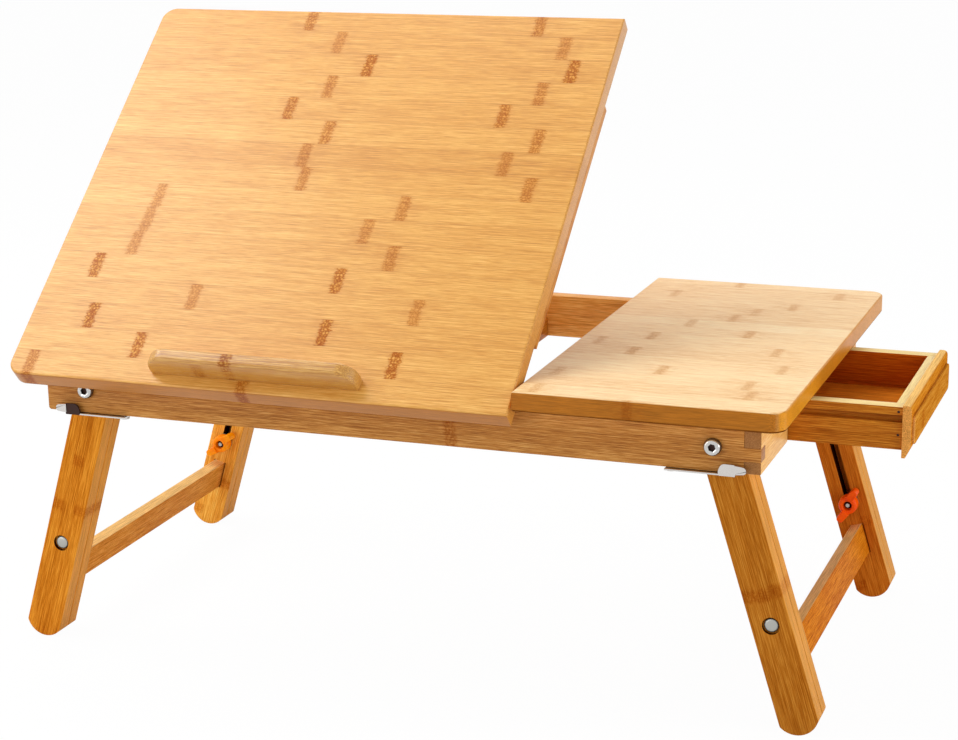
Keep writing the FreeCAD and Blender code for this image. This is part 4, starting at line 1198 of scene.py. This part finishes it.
@dataclass
class PivotBolts:
    """Socket-head bolts on which the legs turn."""

    radius: float = 5.8
    height: float = 4.0
    key: float = 2.3
    depth: float = 2.6
    shank: float = 2.9
    reach: float = 32.4

    def bolt(self, place: Matrix, into: Shells) -> None:
        """Adds one bolt: a domed head with a hexagonal socket, and its shank.

        Args:
            place: matrix from the bolt's frame, in millimetres, to the table's frame.
            into: the bmesh that takes the bolt.
        """
        r, h = self.radius, self.height
        head = [
            (self.shank, 0.0), (r - 0.2, 0.0), (r, 0.25), (r, 1.6), (r - 0.2, 2.5), (r - 0.6, 3.3),
            (r - 1.0, 3.8), (r - 1.4, h), (self.key + 0.5, h, True), (self.key, h - 0.3, True),
            (self.key, h - self.depth, True), (0.4, h - self.depth - 0.3),
        ]
        # the head's flank takes the dark grey steel, a painted dark reflection, and the socket's walls and
        # bottom the nearly black steel, painted shade
        turned(head, place, into, slots=(2, 2, 2, 2, 2, 0, 0, 0, 0, 1, 1, 1))
        end = -self.reach
        shank = [(self.shank, 0.2), (self.shank, 0.0), (self.shank, end + 0.5), (self.shank - 0.5, end)]
        turned(shank, place, into)

    def build(self) -> list[Piece]:
        """Builds the four bolts as one piece and dresses their nuts.

        Returns:
            The new piece.
        """
        bm = bmesh.new()
        for side in Side:
            for out, y in ((-Y_WAY, 0.0), (Y_WAY, TRAY_DEPTH)):
                self.bolt(facing(LegPair(side).pivot_point(y), out, 0.3), bm)
        steel = BRIGHT_STEEL.material()
        dress(steel, "leg_pivot_nuts")
        mesh = mesh_from(bm, "pivot_bolt_heads")
        piece = show(mesh.name, mesh, "tray", steel, DARK_STEEL_AND_SHADE.material(), DARK_REFLECTION_STEEL.material())
        return [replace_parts(piece, "leg_pivot_bolts")]


@dataclass
class WingNuts:
    """Moulded wing nuts with two offset wings and an open mouth."""

    hub: float = 7.2
    hub_height: float = 9.0
    mouth: float = 3.4
    mouth_depth: float = 3.5
    reach: float = 13.3
    width: float = 5.9
    offset: float = 0.8
    height: float = 11.6
    cell: float = 0.36
    passes: int = 5

    def master(self) -> Mesh:
        """One nut about +Y, its foot at the origin.

        Returns:
            The new mesh.
        """
        bm = bmesh.new()
        r, m, h = self.hub, self.mouth, self.hub_height
        rings = [
            (r - 0.6, 0.0), (r, 0.5), (r - 0.3, h - 1.6), (r - 0.9, h - 0.5), (r - 1.9, h), (m + 0.5, h),
            (m, h - 0.5), (m, h - self.mouth_depth), (0.5, h - self.mouth_depth),
        ]
        turned(rings, Matrix.Rotation(-math.pi / 2, 4, "X"), bm)
        low, high, tip = self.offset - self.width, self.offset, self.reach + 0.2
        outline = rounded_outline([
            (m + 1.2, low, 0), (tip, low + 0.5, 2.5), (tip, high - 0.2, 2.5), (m + 1.2, high, 0),
        ])
        for turn in (0.0, math.pi):
            spin, ready = Matrix.Rotation(turn, 3, "Y"), set(bm.verts)
            slab(outline, 1.6, self.height, bm)
            for vert in set(bm.verts) - ready:
                if vert.co.y > 5:  # the wing's upper edge falls towards its tip and towards the hub
                    vert.co.y -= 0.10 * max(0.0, vert.co.x - 11.0) + 0.35 * max(0.0, 6.0 - vert.co.x)
                vert.co = spin @ vert.co
        for vert in bm.verts:
            vert.co *= MM
        return self.moulded(bm)

    def moulded(self, bm: Shells) -> Mesh:
        """Melts overlapping shells into one skin with soft inner corners.

        Args:
            bm: the shells, which are freed.

        Returns:
            The new mesh.
        """
        rough = mesh_from(bm, "wing_nut_rough")
        carrier = bpy.data.objects.new(rough.name, rough)
        bpy.context.scene.collection.objects.link(carrier)
        remesh = carrier.modifiers.new("remesh", "REMESH")
        remesh.mode, remesh.voxel_size = "VOXEL", self.cell * MM
        smooth = carrier.modifiers.new("smooth", "SMOOTH")
        smooth.factor, smooth.iterations = 0.5, self.passes
        graph = bpy.context.evaluated_depsgraph_get()
        mesh = bpy.data.meshes.new_from_object(carrier.evaluated_get(graph), depsgraph=graph)
        bpy.data.objects.remove(carrier)
        bpy.data.meshes.remove(rough)
        mesh.name = "wing_nut"
        mesh.shade_smooth()
        return mesh

    def build(self) -> list[Piece]:
        """Builds the four nuts on their clamps.

        Returns:
            The new pieces.
        """
        master = self.master()
        # the left nuts' paler orange is painted light
        paints = {Side.RIGHT: DEEP_ORANGE.material(), Side.LEFT: PAINTED_LIGHT_ORANGE.material()}
        made = []
        for side in Side:
            pair = LegPair(side)
            lean = Matrix.Rotation(-side.value * math.radians(pair.splay), 4, "Y")
            for row in Row:
                y = pair.seat if row is Row.FRONT else TRAY_DEPTH - pair.seat
                place = Matrix.Translation(pair.pivot_point(y) - pair.upward() * pair.clamp_reach * MM) @ lean
                if row is Row.BACK:
                    place = place @ Matrix.Rotation(math.pi, 4, "Z")
                turn = Matrix.Rotation(math.radians(NUT_TURNS[side, row]), 4, "Y")
                name = pair.name(row, "wing_nut")
                mesh = master.copy()
                mesh.name = name + "_moulded"
                mesh.transform(place @ turn)
                piece = show(mesh.name, mesh, name, paints[side])
                made.append(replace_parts(piece, name))
        return made


@dataclass
class LatchClips:
    """Spring clips under the front rail, each with a tapered finger tab."""

    start: float = 8.4
    end: float = 62.0
    face: float = -1.4
    thick: float = 1.0
    front: float = -4.0
    back: float = 8.0
    tab: float = 18.7
    tab_height: float = 8.0
    fold: float = 0.22

    def clip(self, side: Side) -> Piece:
        """Builds one clip from bent strip.

        Args:
            side: end of the table that it is at.

        Returns:
            The new piece.
        """
        bm = bmesh.new()
        x, z, t = self.start, self.face, self.thick
        tip, top = x + self.tab, z + self.tab_height
        strip_outline = [(x + 9.0, z), (self.end, z), (self.end, z + t), (x + 9.0, z + t)]
        slab(strip_outline, self.front + 0.6, self.back, bm)
        plate = rounded_outline([
            (x + 7.2, z, 0.6), (tip - 1.0, z, 0.6), (tip, z + 2.5, 2.0), (tip - 2.4, top, 2.6),
            (x + 7.2, top - 0.3, 1.0),
        ])
        strip = set(bm.faces)
        slab(plate, self.front, self.front + t, bm)
        # the left clip's plate takes the nearly black steel: a painted dark reflection
        for face in set(bm.faces) - strip:
            face.material_index = int(side is Side.LEFT)
        nose = rounded_outline([
            (x, z + 2.2, 2.2), (x + 8.0, z + 1.4, 0.4), (x + 8.0, z + 7.5, 0.4), (x, z + 6.6, 2.6),
        ])
        slab(nose, self.front - 0.6, self.front + t - 0.2, bm)
        ease(bm, FOLD_ANGLE, self.fold, 0.5)
        for vert in bm.verts:
            if side is Side.RIGHT:
                vert.co.x = TRAY_LENGTH - vert.co.x
            vert.co = at(*vert.co)
        node = side.name.lower() + "_latch_clip"
        mesh = mesh_from(bm, node + "_bent")
        piece = show(mesh.name, mesh, node, SPRING_STEEL.material(), DARK_STEEL_AND_SHADE.material())
        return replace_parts(piece, node)

    def build(self) -> list[Piece]:
        """Builds both clips."""
        return [self.clip(side) for side in Side]


@dataclass
class Drawer:
    """Drawer box with its lipped front board and finger plate, shown pulled out."""

    edge: float = 0.5
    fine_edge: float = 0.4
    floor_edge: float = 0.3

    def build(self) -> list[Piece]:
        """Builds and dresses the drawer.

        Returns:
            The new pieces.
        """
        along, across = Grain(at(0, 0, 2), X_WAY, Z_WAY), Grain(at(0, 0, 2), Y_WAY, Z_WAY)
        walls = ("drawer_front_wall", "drawer_back_wall")
        made = boards(DRAWER_WOOD, "drawer_sides", along, self.edge, "drawer_front_side")
        # the back side's redder wood is partly painted warm shade
        made += boards(DRAWER_RED, "drawer_back", along, self.edge, "drawer_back_side")
        made += boards(DRAWER_WOOD, "drawer_walls", across, self.edge, *walls)
        wide = replace(DRAWER_WOOD.retinted(1.5, 1.3, 1.1), strip=20.0)
        flat = Grain(at(0, 0, 0), X_WAY, Y_WAY)
        made += boards(wide, "drawer_floor", flat, self.floor_edge, "drawer_bottom")
        front, plate = DRAWER_FRONT.retinted(0.75, 0.56, 0.36), DRAWER_FRONT.retinted(0.72, 0.6, 0.56)
        low = Grain(at(0, 0, -4), Y_WAY, Z_WAY)
        made += boards(front, "front", low, self.fine_edge, "drawer_front_board")
        made += boards(plate, "plate", low, self.edge, "drawer_pull_plate")
        dress(DARK_STEEL_AND_SHADE.material(), "drawer_brads")
        return made


def main() -> None:
    """Builds the table and its surroundings."""
    Studio().build()
    LOG.info("studio: camera, floor and lamps")
    parts = (Tray(), TiltingTop(), Prop(), LegPair(Side.LEFT), LegPair(Side.RIGHT), PivotBolts(), WingNuts(),
             LatchClips(), Drawer())
    for part in parts:
        for piece in part.build():
            LOG.info("%s: %s, %d faces", type(part).__name__, piece.name, len(piece.data.polygons))
    scene = bpy.context.scene
    scene.view_settings.view_transform = "Standard"


if __name__ == "__main__":
    main()
